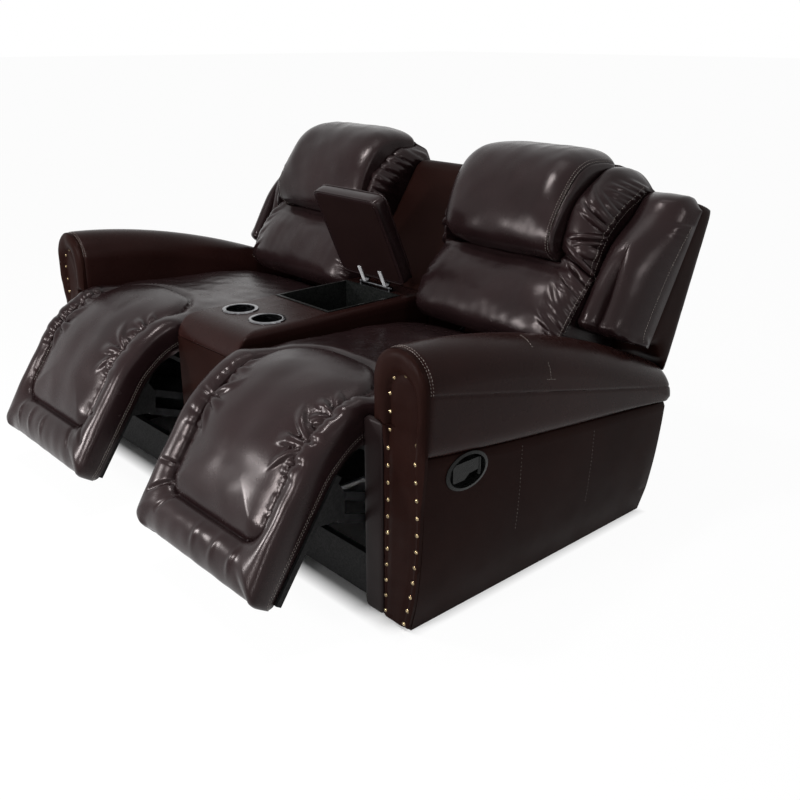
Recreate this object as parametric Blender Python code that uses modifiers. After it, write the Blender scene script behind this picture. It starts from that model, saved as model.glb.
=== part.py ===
"""A reclining loveseat with a centre console, built piece by piece in metres, +Z up.

X runs to the right as seen from the front, Y to the back, and the origin is on the floor under the
middle of the piece as it stands: footrests part open, backs upright, console lid up.
"""

import math

import bmesh
import bpy
from mathutils import Matrix, Vector

# The whole piece
overall_width = 1.85
front_reach = 0.32
fit_gap = 0.0003
overrun = 0.02

# Arms: a tall side box with a padded roll on it
roll_radius = 0.0875
arm_height = 0.709
arm_slope_height = 0.254
arm_slope_power = 1.8
arm_depth = 0.98
arm_foot_inset = 0.035
hem_height = 0.468
hem_slope_height = 0.115
hem_slope_power = 0.8
roll_tuck = 0.018
roll_end_round = 0.022
side_inset = 0.017
side_bulge_height = 0.34
side_foot_inset = 0.057
panel_thickness = 0.012
panel_inset = 0.004
panel_foot = 0.008
panel_bulge = 0.012
post_lap = 0.031
post_width = 0.0645
post_height = 0.52
post_proud = 0.004
post_round = 0.007
arm_ring_shares = (0, 0.08, 0.2, 0.35, 0.5, 0.65, 0.8, 0.92, 0.98, 1)

# Release handle in the side of each arm
handle_y = 0.148
handle_z = 0.396
handle_length = 0.135
handle_height = 0.095
handle_rim = 0.005
handle_proud = 0.004
dish_depth = 0.03
dish_wall = 0.002
paddle_length = 0.088
paddle_height = 0.046
paddle_thickness = 0.006
paddle_sunk = 0.001
paddle_barrel = 0.005

# Base: two cross rails and a rear panel between the arms
rail_foot = 0.025
rail_top = 0.14
rail_thickness = 0.018
rear_panel_top = 0.275
rear_panel_foot = 0.02
rear_panel_thickness = 0.014

# Console between the seats
console_half_width = 0.157
console_front = 0.015
console_rear_room = 0.251
console_height = 0.569
console_wall = 0.015
console_deck = 0.034
console_lip = 0.069
console_nose = 0.05
cup_spread = 0.07
cup_y = 0.182
cup_rim_radius = 0.055
cup_radius = 0.0445
cup_wall = 0.0015
cup_depth = 0.078
cup_rim_height = 0.004
bin_side_room = 0.029
bin_front = 0.36
bin_rear_room = 0.022
bin_depth = 0.20
bin_wall = 0.003
bin_flange = 0.006
bin_flange_height = 0.002

# The console's lid, its rod and the fixed hinge base
lid_open = math.radians(66)
lid_axis_inset = 0.078
lid_axis_rise = 0.008
lid_side_gap = 0.007
lid_lap = 0.029
lid_thickness = 0.080
lid_sunk = 0.001
lid_crown = 0.012
lid_rod_radius = 0.004
lid_rod_half = 0.078
lid_lug_spread = 0.070
lid_lug_width = 0.006
lid_lug_wall = 0.0035
lid_base_thickness = 0.0012
lid_setback = 0.028
lid_arm_spread = 0.050
lid_arm_width = 0.016
lid_arm_thickness = 0.004
lid_arm_lean = math.radians(31.5)
lid_foot_length = 0.032

# Fixed back panel behind the console
console_back_height = 0.935
console_back_setback = 0.014
console_back_round = 0.03

# Seats
seat_side_gap = 0.008
deck_height = 0.402
deck_thickness = 0.014
deck_inset = 0.004
deck_front = 0.035
deck_rear_room = 0.025
seat_front = 0.0125
seat_rear_room = 0.306
seat_crown = 0.552
seat_edge_height = 0.50
seat_rear_drop = 0.05
seat_front_drop = 0.018
seat_side_draw = 0.012

# Footrest, measured down its slope from the fold it turns on and out from the back of its board
footrest_slope = math.radians(55.6)
fold_ahead = 0.05
fold_height = 0.47
fold_out = 0.0374
board_upper = 0.085
board_lower = 0.415
board_thickness = 0.016
board_lap = 0.0005
pad_side_gap = 0.0025
pad_lower = 0.436
pad_fold_radius = 0.057
pad_seam_out = 0.046
pad_border_out = 0.100
pad_groove_out = 0.080
pad_crown_out = 0.118
pad_border_width = 0.078
pad_end_border = 0.100
pad_side_draw = 0.006
pad_tip_share = 0.06
clear_share = 0.94

# Linkage under each footrest
plate_thickness = 0.004
plate_inset = 0.014
link_fall = math.radians(20)
link_lean = math.radians(6.2)
drive_distance = 0.25
idler_distance = 0.40
upper_pin = 0.1425
lower_pin = 0.20
link_width = 0.022
link_thickness = 0.004
pin_radius = 0.005
pin_fit = 0.0004
tube_radius = 0.012
layer_gap = 0.0095
bracket_gap = 0.0015
ear_foot_share = 0.5

# Backs, measured forward and up from the foot of the rear face
back_lean = math.radians(19.6)
back_gap = 0.006
back_foot_z = 0.392
back_top = 0.515
back_overhang = 0.174
shell_thickness = 0.10
shell_top_out = 0.53
shell_round = 0.012
recline_ahead = 0.186
recline_drop = 0.032
recline_angle = math.radians(22)
apron_sweep = math.radians(46)
apron_wall = 0.016
bracket_up = 0.008
bracket_low = -0.06
bracket_boss = 0.022
cushion_foot = 0.012
cushion_top = 0.575
cushion_depth = 0.285
bed_share = 0.19
headrest_inner_room = 0.04
headrest_outer_room = 0.097
headrest_foot = 0.268
head_gap = 0.004
head_reach = 0.388
head_rise = 0.60

# Outer wing of each back
wing_gap = 0.001
wing_inset = 0.025
wing_lap = 0.014
wing_foot = 0.03
wing_top_rise = 0.008
wing_reach = 0.318
wing_lobe = 0.030
wing_edge = 0.012
wing_end_swell = 0.02
wing_shell_top_depth = 0.088
wing_shell_foot_depth = 0.172
arm_clearance = 0.010

# Places that follow from these sizes
half_width = overall_width / 2
arm_inner = half_width - 2 * roll_radius
roll_x = half_width - roll_radius
side_bulge = half_width - side_inset
side_foot = half_width - side_foot_inset
post_inner = arm_inner - post_lap
back_foot_y = arm_depth + back_gap
front_y = (front_reach - back_foot_y - back_overhang) / 2
recline_y = back_foot_y - recline_ahead
recline_z = back_foot_z - recline_drop
rear_rail_y = recline_y
deck_rear = recline_y - deck_rear_room
seat_rear = back_foot_y - seat_rear_room
seat_inner = console_half_width + seat_side_gap
seat_outer = arm_inner - seat_side_gap
seat_mid = (seat_inner + seat_outer) / 2
pad_inner = seat_inner + pad_side_gap
pad_outer = post_inner - pad_side_gap
layer_reach = (seat_outer - seat_inner) / 2 - plate_inset - plate_thickness - layer_gap
board_inner = seat_mid - layer_reach - board_lap
board_outer = seat_mid + layer_reach + board_lap
headrest_inner = seat_inner + headrest_inner_room
headrest_outer = seat_outer - headrest_outer_room
wing_seam = seat_outer - wing_gap
wing_outer = half_width - wing_inset
wing_shell_outer = wing_outer - wing_lap
console_depth = back_foot_y - console_rear_room
lid_axis_y = console_depth - lid_axis_inset
lid_axis_z = console_height + lid_axis_rise
bin_length = lid_axis_y - bin_rear_room - bin_front
bin_half_width = console_half_width - bin_side_room
lid_half_width = console_half_width - lid_side_gap
lid_length = lid_axis_y - lid_setback - bin_front + lid_lap
console_back_y = back_foot_y + console_back_setback


def behind(distance):
    """The y of a place that lies this far behind the fronts of the arms."""
    return front_y + distance


fold = Vector((0, behind(-fold_ahead), fold_height))
recline = Vector((0, behind(recline_y), recline_z))
lid_axis = Vector((0, behind(lid_axis_y), lid_axis_z))


def slope_point(x, down, out):
    """A point down the footrest's slope from its fold, and out from the back of its board."""
    lift = out - fold_out
    y = fold.y - down * math.cos(footrest_slope) - lift * math.sin(footrest_slope)
    z = fold.z - down * math.sin(footrest_slope) + lift * math.cos(footrest_slope)
    return Vector((x, y, z))


def back_point(x, forward, up):
    """A point forward of a back's rear face, and up along it from its foot."""
    y = behind(back_foot_y) + up * math.sin(back_lean) - forward * math.cos(back_lean)
    z = back_foot_z + up * math.cos(back_lean) + forward * math.sin(back_lean)
    return Vector((x, y, z))


def arm_top(depth):
    """The height of an arm's top line, this far behind its front."""
    return arm_height - arm_slope_height * (depth / arm_depth) ** arm_slope_power


def arm_hem(depth):
    """The height at which the roll is tucked into the arm's side."""
    return hem_height - hem_slope_height * (depth / arm_depth) ** hem_slope_power


def arm_rear(height):
    """How far behind the front the arm's rear edge is at this height."""
    return arm_depth - arm_foot_inset * (1 - height / arm_top(arm_depth))


def smooth(share):
    """An even ease from 0 to 1."""
    share = min(max(share, 0), 1)
    return share * share * (3 - 2 * share)


def blend(low, high, share):
    return low + (high - low) * share


# The scene and its collections
for old in list(bpy.data.objects):
    bpy.data.objects.remove(old, do_unlink=True)
parts = bpy.data.collections.new("reclining_loveseat")
cutters = bpy.data.collections.new("cutters")
guides = bpy.data.collections.new("axes")
for group in (parts, cutters, guides):
    bpy.context.scene.collection.children.link(group)


def material(name, colour, roughness, metallic=0.0):
    skin = bpy.data.materials.new(name)
    skin.use_nodes = True
    shader = skin.node_tree.nodes["Principled BSDF"]
    shader.inputs["Base Color"].default_value = (*colour, 1)
    shader.inputs["Roughness"].default_value = roughness
    shader.inputs["Metallic"].default_value = metallic
    return skin


leather = material("brown_leather", (0.045, 0.026, 0.022), 0.32)
black_steel = material("black_steel", (0.012, 0.012, 0.013), 0.45, 0.6)
black_board = material("black_board", (0.010, 0.010, 0.010), 0.7)
black_plastic = material("black_plastic", (0.012, 0.013, 0.013), 0.35)
chrome = material("chrome", (0.85, 0.85, 0.86), 0.08, 1.0)
wood = material("rail_wood", (0.30, 0.20, 0.11), 0.7)


def add(name, mesh, skin, group=parts):
    """An object for a finished mesh, in the parts unless it is a cutter."""
    obj = bpy.data.objects.new(name, mesh)
    mesh.name = name
    group.objects.link(obj)
    if skin:
        mesh.materials.append(skin)
    if group is cutters:
        obj.hide_render = True
        obj.display_type = "WIRE"
    return obj


def finish(name, shape, skin, group=parts, smooth_angle=None):
    """Turn a bmesh into an object with its faces pointing out."""
    bmesh.ops.recalc_face_normals(shape, faces=shape.faces)
    if shape.calc_volume(signed=True) < 0:
        bmesh.ops.reverse_faces(shape, faces=shape.faces)
    mesh = bpy.data.meshes.new(name)
    shape.to_mesh(mesh)
    shape.free()
    if smooth_angle:
        mesh.shade_smooth()
        mesh.set_sharp_from_angle(angle=smooth_angle)
    return add(name, mesh, skin, group)


soft_angle = math.radians(50)


def block(name, low, high, skin, soften=0, group=parts):
    """A box between two corners, with its edges rounded."""
    low, high = Vector(low), Vector(high)
    low, high = Vector(map(min, low, high)), Vector(map(max, low, high))
    shape = bmesh.new()
    bmesh.ops.create_cube(shape, size=1)
    bmesh.ops.scale(shape, vec=high - low, verts=shape.verts)
    bmesh.ops.translate(shape, vec=(low + high) / 2, verts=shape.verts)
    obj = finish(name, shape, skin, group)
    if soften:
        round_edges(obj, soften)
    return obj


def round_edges(obj, width, segments=2):
    bevel = obj.modifiers.new("rounding", "BEVEL")
    bevel.width = width
    bevel.segments = segments
    bevel.limit_method = "ANGLE"


def rod(name, start, end, radius, skin, group=parts, sides=20):
    """A round bar from one point to another."""
    start, end = Vector(start), Vector(end)
    shape = bmesh.new()
    bmesh.ops.create_cone(
        shape, cap_ends=True, segments=sides, radius1=radius, radius2=radius, depth=(end - start).length
    )
    turn = (end - start).to_track_quat("Z", "Y").to_matrix().to_4x4()
    bmesh.ops.transform(shape, matrix=Matrix.Translation((start + end) / 2) @ turn, verts=shape.verts)
    return finish(name, shape, skin, group, soft_angle)


side_view = Matrix(((0, 0, 1), (1, 0, 0), (0, 1, 0))).to_4x4()
front_view = Matrix(((1, 0, 0), (0, 0, -1), (0, 1, 0))).to_4x4()


def plate(name, loops, near, far, skin, view=side_view, group=parts):
    """A flat outline with holes, as thick as from near to far along the view's own axis."""
    curve = bpy.data.curves.new(name, "CURVE")
    curve.dimensions = "2D"
    curve.fill_mode = "BOTH"
    curve.extrude = abs(far - near) / 2
    for loop in loops:
        spline = curve.splines.new("POLY")
        spline.points.add(len(loop) - 1)
        spline.use_cyclic_u = True
        for point, (across, up) in zip(spline.points, loop):
            point.co = (across, up, 0, 1)
    middle = (near + far) / 2
    shift = Vector((middle, 0, 0)) if view is side_view else Vector((0, middle, 0))
    outline = bpy.data.objects.new(name + "_outline", curve)
    guides.objects.link(outline)
    outline.matrix_world = Matrix.Translation(shift) @ view
    bpy.context.view_layer.update()
    graph = bpy.context.evaluated_depsgraph_get()
    mesh = bpy.data.meshes.new_from_object(outline.evaluated_get(graph))
    mesh.transform(outline.matrix_world)
    bpy.data.objects.remove(outline)
    shape = bmesh.new()
    shape.from_mesh(mesh)
    bmesh.ops.remove_doubles(shape, verts=shape.verts, dist=fit_gap / 10)
    return finish(name, shape, skin, group)


def loft(name, rings, skin, group=parts):
    """A closed skin over rings of points, one after another."""
    shape = bmesh.new()
    loops = [[shape.verts.new(point) for point in ring] for ring in rings]
    for near, far in zip(loops, loops[1:]):
        for here in range(len(near)):
            after = (here + 1) % len(near)
            shape.faces.new((near[here], near[after], far[after], far[here]))
    shape.faces.new(loops[0])
    shape.faces.new(loops[-1])
    return finish(name, shape, skin, group, soft_angle)


def cushion(name, column_shares, row_shares, layer_shares, place, skin):
    """A pad: a cube cut at these shares of each side, whose points place() puts in the part."""
    tables = (column_shares, row_shares, layer_shares)
    shape = bmesh.new()
    bmesh.ops.create_cube(shape, size=2)
    for axis, shares in enumerate(tables):
        whole = [e for e in shape.edges if abs((e.verts[0].co - e.verts[1].co)[axis]) > 1]
        if len(shares) > 2:
            bmesh.ops.subdivide_edges(shape, edges=whole, cuts=len(shares) - 2, use_grid_fill=True)
    for vert in shape.verts:
        steps = [round((vert.co[axis] + 1) / 2 * (len(shares) - 1)) for axis, shares in enumerate(tables)]
        vert.co = place(*(shares[step] for shares, step in zip(tables, steps)))
    return finish(name, shape, skin, parts, soft_angle)


def mirrored(half_shares):
    """A table from -1 to 1 out of its half from 0 to 1."""
    return [-share for share in reversed(half_shares) if share] + list(half_shares)


def circle(centre, radius, count=20, start=0.0, sweep=2 * math.pi):
    """Points round a centre in a view's own two axes; a full turn leaves out its last point."""
    closed = abs(sweep) >= 2 * math.pi
    steps = count if closed else count - 1
    turns = [start + sweep * step / steps for step in range(count)]
    return [(centre[0] + radius * math.cos(t), centre[1] + radius * math.sin(t)) for t in turns]


def cut(obj, tool, how="DIFFERENCE"):
    """Cut obj by tool, or join the two into one solid."""
    boolean = obj.modifiers.new(how.lower(), "BOOLEAN")
    boolean.operation = how
    boolean.object = tool
    boolean.solver = "EXACT"


def axis_empty(name, place):
    """A guide on a joint's axis, which the pieces that turn there hang from."""
    empty = bpy.data.objects.new(name, None)
    guides.objects.link(empty)
    empty.location = place
    empty.empty_display_size = roll_radius
    bpy.context.view_layer.update()
    return empty


def hang(empty, *pieces):
    for piece in pieces:
        piece.parent = empty
        piece.matrix_parent_inverse = empty.matrix_world.inverted()


def flat(point):
    """A point's place in the side view."""
    return (point.y, point.z)


def build_arm(side, label):
    """One arm: side box, roll, nailed front panel and the strip beside the footrest."""
    body_rings = []
    for depth_share in arm_ring_shares:
        depth = blend(panel_thickness + fit_gap, arm_depth, depth_share)
        top = arm_hem(depth) - fit_gap
        ring = []
        for x, z in (
            (arm_inner, 0),
            (side_foot, 0),
            (blend(side_foot, side_bulge, 0.8), side_bulge_height / 2),
            (side_bulge, side_bulge_height),
            (side_bulge, top),
            (arm_inner, top),
        ):
            y = min(depth, arm_rear(z)) if depth_share == 1 else depth
            ring.append((side * x, behind(y), z))
        body_rings.append(ring)
    body = loft("arm_body_" + label, body_rings, leather)
    pocket = oval_tool("handle_pocket_" + label, side, handle_length / 2 - handle_rim, handle_height / 2 - handle_rim)
    cut(body, pocket)

    roll_rings = []
    for depth_share in arm_ring_shares:
        depth = blend(panel_thickness + fit_gap, arm_depth, depth_share)
        shrink = roll_end_round * smooth((depth_share - 0.95) / 0.05)
        hem, top = arm_hem(depth), arm_top(depth) - shrink
        radius = roll_radius - shrink
        height = top - radius
        arc = circle((roll_x, height), radius, 15, math.pi, -math.pi)
        low = blend(height, hem, 0.55)
        outline = [(arm_inner + shrink, hem)] + arc
        outline += [(half_width - roll_tuck * 0.4 - shrink, low), (half_width - roll_tuck - shrink, hem)]
        roll_rings.append([(side * x, behind(depth), z) for x, z in outline])
    loft("arm_roll_" + label, roll_rings, leather)

    centre = (roll_x, arm_height - roll_radius)
    outer_shares = ((1.0, 0.0), (1.0, 0.30), (0.72, 0.55), (0.36, 0.80), (0.0, 1.0))
    bulge = side_bulge + panel_bulge
    fall = centre[1] - panel_foot
    outline = [(post_inner + post_width + fit_gap, panel_foot), (post_inner + post_width + fit_gap, post_height + fit_gap)]
    outline += [(arm_inner + panel_inset, post_height + fit_gap)]
    outline += circle(centre, roll_radius - panel_inset, 17, math.pi, -math.pi)
    outline += [(blend(side_foot, bulge, out), centre[1] - fall * down) for out, down in outer_shares[1:]]
    panel = plate(
        "arm_front_panel_" + label,
        [[(side * x, z) for x, z in outline]],
        front_y,
        behind(panel_thickness),
        leather,
        front_view,
    )
    round_edges(panel, panel_inset / 2)
    block(
        "arm_post_" + label,
        (side * post_inner, behind(-post_proud), panel_foot),
        (side * (post_inner + post_width), behind(panel_thickness), post_height),
        leather,
        post_round,
    )


def oval_tool(name, side, half_length, half_height):
    """A cutter for the handle's pocket in the arm's side."""
    outline = [
        (behind(handle_y) + half_length * math.cos(turn), handle_z + half_height * math.sin(turn))
        for turn in (2 * math.pi * step / 32 for step in range(32))
    ]
    near = side * (side_bulge - dish_depth - fit_gap)
    far = side * (side_bulge + overrun)
    return plate(name, [outline], min(near, far), max(near, far), None, side_view, cutters)


def build_handle(side, label):
    """The recessed dish and the spring-back paddle in it."""
    stretch = (handle_length / 2 - handle_rim) / (handle_height / 2 - handle_rim)
    dish = handle_height / 2 - handle_rim - fit_gap
    profile = [
        (0, -dish_depth + dish_wall),
        (dish - dish_wall, -dish_depth + dish_wall),
        (dish - dish_wall, handle_proud),
        (dish + handle_rim, handle_proud / 2),
        (dish + handle_rim, fit_gap),
        (dish, fit_gap),
        (dish, -dish_depth),
        (0, -dish_depth),
    ]
    bezel = turned("handle_bezel_" + label, profile, black_plastic, 32)
    grow = Matrix.Diagonal((stretch, 1, 1, 1))
    place = Matrix.Translation((side * side_bulge, behind(handle_y), handle_z))
    turn = Matrix(((0, 0, side, 0), (1, 0, 0, 0), (0, side, 0, 0), (0, 0, 0, 1)))
    bezel.data.transform(place @ turn @ grow)

    barrel_y = handle_y + paddle_length / 2
    hinge_x = side_bulge - paddle_thickness / 2 - paddle_sunk
    front_edge = barrel_y - paddle_length
    outline_shares = ((0, -0.42), (0, 0.36), (0.10, 0.5), (1, 0.5), (1, -0.16), (0.62, -0.22), (0.42, -0.5), (0.05, -0.5))
    outline = [
        (behind(blend(front_edge, barrel_y, along)), handle_z + up * paddle_height) for along, up in outline_shares
    ]
    faces = sorted((side * (side_bulge - paddle_sunk), side * (side_bulge - paddle_sunk - paddle_thickness)))
    paddle = plate("release_handle_" + label, [outline], faces[0], faces[1], black_plastic)
    hollow = dish - dish_wall
    reach = (paddle_length / 2 + paddle_barrel) / (hollow * stretch)
    half_barrel = hollow * math.sqrt(1 - reach**2) - fit_gap
    barrel = rod(
        "handle_barrel_" + label,
        (side * hinge_x, behind(barrel_y), handle_z - half_barrel),
        (side * hinge_x, behind(barrel_y), handle_z + half_barrel),
        paddle_barrel,
        None,
        cutters,
        16,
    )
    cut(paddle, barrel, "UNION")
    hang(axis_empty("handle_axis_" + label, (side * hinge_x, behind(barrel_y), handle_z)), paddle)


def turned(name, profile, skin, steps):
    """A turned piece: a profile in x and z, screwed round Z."""
    shape = bmesh.new()
    verts = [shape.verts.new((radius, 0, height)) for radius, height in profile]
    for here, after in zip(verts, verts[1:]):
        shape.edges.new((here, after))
    line = bpy.data.meshes.new(name + "_profile")
    shape.to_mesh(line)
    shape.free()
    spun = add(name + "_profile", line, None, guides)
    screw = spun.modifiers.new("turn", "SCREW")
    screw.steps = steps
    screw.render_steps = steps
    screw.use_merge_vertices = True
    screw.merge_threshold = fit_gap / 10
    bpy.context.view_layer.update()
    graph = bpy.context.evaluated_depsgraph_get()
    solid = bpy.data.meshes.new_from_object(spun.evaluated_get(graph))
    bpy.data.objects.remove(spun)
    shape = bmesh.new()
    shape.from_mesh(solid)
    bmesh.ops.remove_doubles(shape, verts=shape.verts, dist=fit_gap / 10)
    return finish(name, shape, skin, smooth_angle=soft_angle)


def build_base():
    """The cross rails that tie the arms together, and the panel that closes the rear."""
    inside = arm_inner - fit_gap
    front = panel_thickness + fit_gap
    block("front_rail", (-inside, behind(front), rail_foot), (inside, behind(front + rail_thickness), rail_top), black_board)
    block(
        "rear_rail",
        (-inside, behind(rear_rail_y), rail_foot),
        (inside, behind(rear_rail_y + rail_thickness), rail_top),
        wood,
    )
    outline = []
    for height, inset in (
        (rear_panel_foot, rear_panel_thickness),
        (rear_panel_foot, 0),
        (rear_panel_top, 0),
        (rear_panel_top, rear_panel_thickness),
    ):
        outline.append((behind(arm_rear(height) - inset), height))
    plate("rear_panel", [outline], -inside, inside, leather)


def build_console():
    """The console's box, deck, cup holders, storage bin and fixed back."""
    base = rail_top + fit_gap
    under = console_height - console_deck
    lip = console_height - console_lip
    case = plate(
        "console_case",
        [
            [
                (behind(console_front), base),
                (behind(console_depth), base),
                (behind(console_depth), under - fit_gap),
                (behind(console_nose), under - fit_gap),
                (behind(console_nose), lip - fit_gap),
                (behind(console_front), lip - fit_gap),
            ]
        ],
        -console_half_width,
        console_half_width,
        leather,
    )
    hollow = block(
        "console_hollow",
        (console_wall - console_half_width, behind(console_nose + console_wall), base - overrun),
        (console_half_width - console_wall, behind(console_depth - console_wall), console_height + overrun),
        None,
        group=cutters,
    )
    cut(case, hollow)

    nose = console_nose - console_front
    outline = circle((behind(console_nose), console_height - nose), nose, 8, math.pi, -math.pi / 2)
    outline += [
        (behind(console_depth), console_height),
        (behind(console_depth), under),
        (behind(console_nose) - fit_gap, under),
        (behind(console_nose) - fit_gap, lip),
        (behind(console_front), lip),
    ]
    deck = plate("console_deck", [outline], -console_half_width, console_half_width, leather)
    profile = [
        (0, cup_wall - cup_depth),
        (cup_radius - cup_wall, cup_wall - cup_depth),
        (cup_radius - cup_wall, cup_rim_height * 0.7),
        (cup_radius + cup_wall, cup_rim_height),
        (cup_rim_radius - cup_wall, cup_rim_height * 0.8),
        (cup_rim_radius, fit_gap),
        (cup_radius, fit_gap),
        (cup_radius, -cup_depth),
        (0, -cup_depth),
    ]
    for side, label in ((1, "right"), (-1, "left")):
        centre = Vector((side * cup_spread, behind(cup_y), console_height))
        well = rod(
            "cup_well_" + label,
            centre - Vector((0, 0, console_deck + overrun)),
            centre + Vector((0, 0, overrun)),
            cup_radius + fit_gap,
            None,
            cutters,
            40,
        )
        cut(deck, well)
        cup = turned("cup_holder_" + label, profile, chrome, 40)
        cup.data.transform(Matrix.Translation(centre))

    mouth = bin_half_width + fit_gap
    opening = block(
        "bin_opening",
        (-mouth, behind(bin_front - fit_gap), under - overrun),
        (mouth, behind(bin_front + bin_length + fit_gap), console_height + overrun),
        None,
        group=cutters,
    )
    cut(deck, opening)
    liner = block(
        "storage_bin",
        (-bin_half_width, behind(bin_front), console_height - bin_depth),
        (bin_half_width, behind(bin_front + bin_length), console_height + bin_flange_height / 2),
        black_plastic,
    )
    flange = block(
        "bin_flange",
        (-bin_half_width - bin_flange, behind(bin_front - bin_flange), console_height + fit_gap),
        (
            bin_half_width + bin_flange,
            behind(bin_front + bin_length + bin_flange),
            console_height + bin_flange_height,
        ),
        None,
        group=cutters,
    )
    cut(liner, flange, "UNION")
    inside = block(
        "bin_inside",
        (bin_wall - bin_half_width, behind(bin_front + bin_wall), console_height - bin_depth + bin_wall),
        (bin_half_width - bin_wall, behind(bin_front + bin_length - bin_wall), console_height + overrun),
        None,
        group=cutters,
    )
    cut(liner, inside)

    rear = [flat(back_point(0, fit_gap, up)) for up in (back_top, 0)]
    low_rear = flat(back_point(0, fit_gap, (base - back_foot_z) / math.cos(back_lean)))
    top = (behind(console_back_y), console_back_height)
    top_rear = flat(back_point(0, fit_gap, back_top + console_back_round))
    outline = [(behind(console_depth + fit_gap), base), (behind(console_depth + fit_gap), console_height)]
    outline += [(top[0] - console_back_round, top[1] - console_back_round * 0.7), top]
    outline += [(top_rear[0], top_rear[1])] + rear + [low_rear]
    panel = plate("console_back", [outline], -console_half_width, console_half_width, leather)
    round_edges(panel, shell_round)


def build_lid():
    """The padded lid, drawn shut and turned open about its rear rod."""
    axis = axis_empty("lid_axis", lid_axis)
    rear = lid_axis.y - lid_setback
    low = lid_axis_z - lid_sunk

    def place(across, along, up):
        edge = max(abs(across), abs(along))
        crown = lid_crown * (1 - across * across) * (1 - along * along)
        draw = lid_crown * 0.6 * (up + 1) / 2 * (edge > 0.99)
        x = (lid_half_width - draw) * across
        y = rear - lid_length / 2 + (lid_length / 2 - draw * (along < 0)) * along
        top = lid_thickness - lid_crown + crown - lid_crown * 0.5 * (edge > 0.99)
        return Vector((x, y, low + top * (up + 1) / 2))

    shares = mirrored((0, 0.45, 0.8, 0.94, 1))
    pad = cushion("console_lid", shares, shares, (-1, 0.5, 1), place, leather)

    rod_low = Vector((-lid_rod_half, lid_axis.y, lid_axis_z))
    rod_high = Vector((lid_rod_half, lid_axis.y, lid_axis_z))
    hinge = rod("lid_hinge_rod", rod_low, rod_high, lid_rod_radius, chrome)
    touch = rear + fit_gap
    arm_rise = (lid_axis.y - touch) / math.tan(lid_arm_lean)
    along = Vector((touch - lid_axis.y, arm_rise)).normalized() * lid_arm_thickness / 2
    foot_low = lid_axis_z + arm_rise - lid_foot_length / 2
    arm = [
        (lid_axis.y + along.y, lid_axis_z - along.x),
        (touch + along.y, lid_axis_z + arm_rise - along.x),
        (touch, foot_low + lid_foot_length),
        (touch, foot_low),
        (touch + lid_arm_thickness, foot_low),
        (lid_axis.y - along.y, lid_axis_z + along.x),
    ]
    for side in (1, -1):
        faces = sorted(side * (lid_arm_spread + half * lid_arm_width / 2) for half in (1, -1))
        strap = plate("lid_arm", [arm], faces[0], faces[1], None, group=cutters)
        cut(hinge, strap, "UNION")
        hang(axis, strap)
    hang(axis, pad, hinge)
    axis.rotation_euler = (-lid_open, 0, 0)

    half = lid_lug_spread + lid_lug_width / 2
    foot = console_height + fit_gap
    front = behind(bin_front + bin_length + bin_flange) + fit_gap
    lug_radius = lid_rod_radius + lid_lug_wall
    base = block(
        "lid_hinge_base",
        (-half - lid_lug_width, front, foot),
        (half + lid_lug_width, lid_axis.y + 2 * lug_radius, foot + lid_base_thickness),
        chrome,
    )
    lug_outline = circle(flat(lid_axis), lug_radius, 11, 0, math.pi)
    lug_foot = foot + lid_base_thickness / 2
    lug_outline += [(lid_axis.y - lug_radius, lug_foot), (lid_axis.y + lug_radius, lug_foot)]
    for side in (1, -1):
        faces = sorted(side * (lid_lug_spread + edge * lid_lug_width / 2) for edge in (1, -1))
        lug = plate("lid_lug", [lug_outline], faces[0], faces[1], None, group=cutters)
        cut(base, lug, "UNION")
    bore = rod(
        "lid_lug_bore",
        rod_low - Vector((overrun, 0, 0)),
        rod_high + Vector((overrun, 0, 0)),
        lid_rod_radius + pin_fit,
        None,
        cutters,
    )
    cut(base, bore)


def link_place(distance):
    """A base pivot of the linkage, this far from the footrest's fold."""
    return fold + Vector((0, math.cos(link_fall), -math.sin(link_fall))) * distance


def crank_pin(pivot, radius):
    """The rest place of a pin this far along a crank."""
    return pivot + Vector((0, -math.sin(link_lean), -math.cos(link_lean))) * radius


def bar_outline(start, end, width):
    """A bar with round ends between two pins in the side view."""
    (y0, z0), (y1, z1) = start, end
    turn = math.atan2(z1 - z0, y1 - y0)
    outline = circle(end, width / 2, 9, turn - math.pi / 2, math.pi)
    return outline + circle(start, width / 2, 9, turn + math.pi / 2, math.pi)


def layer(sign, step):
    """The two faces of the link layer this many steps in from a side plate, outer faces first."""
    half = (seat_outer - seat_inner) / 2 - plate_inset - plate_thickness
    outer = half - layer_gap - step * (link_thickness + fit_gap)
    faces = (seat_mid + sign * outer, seat_mid + sign * (outer - link_thickness))
    return faces


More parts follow.
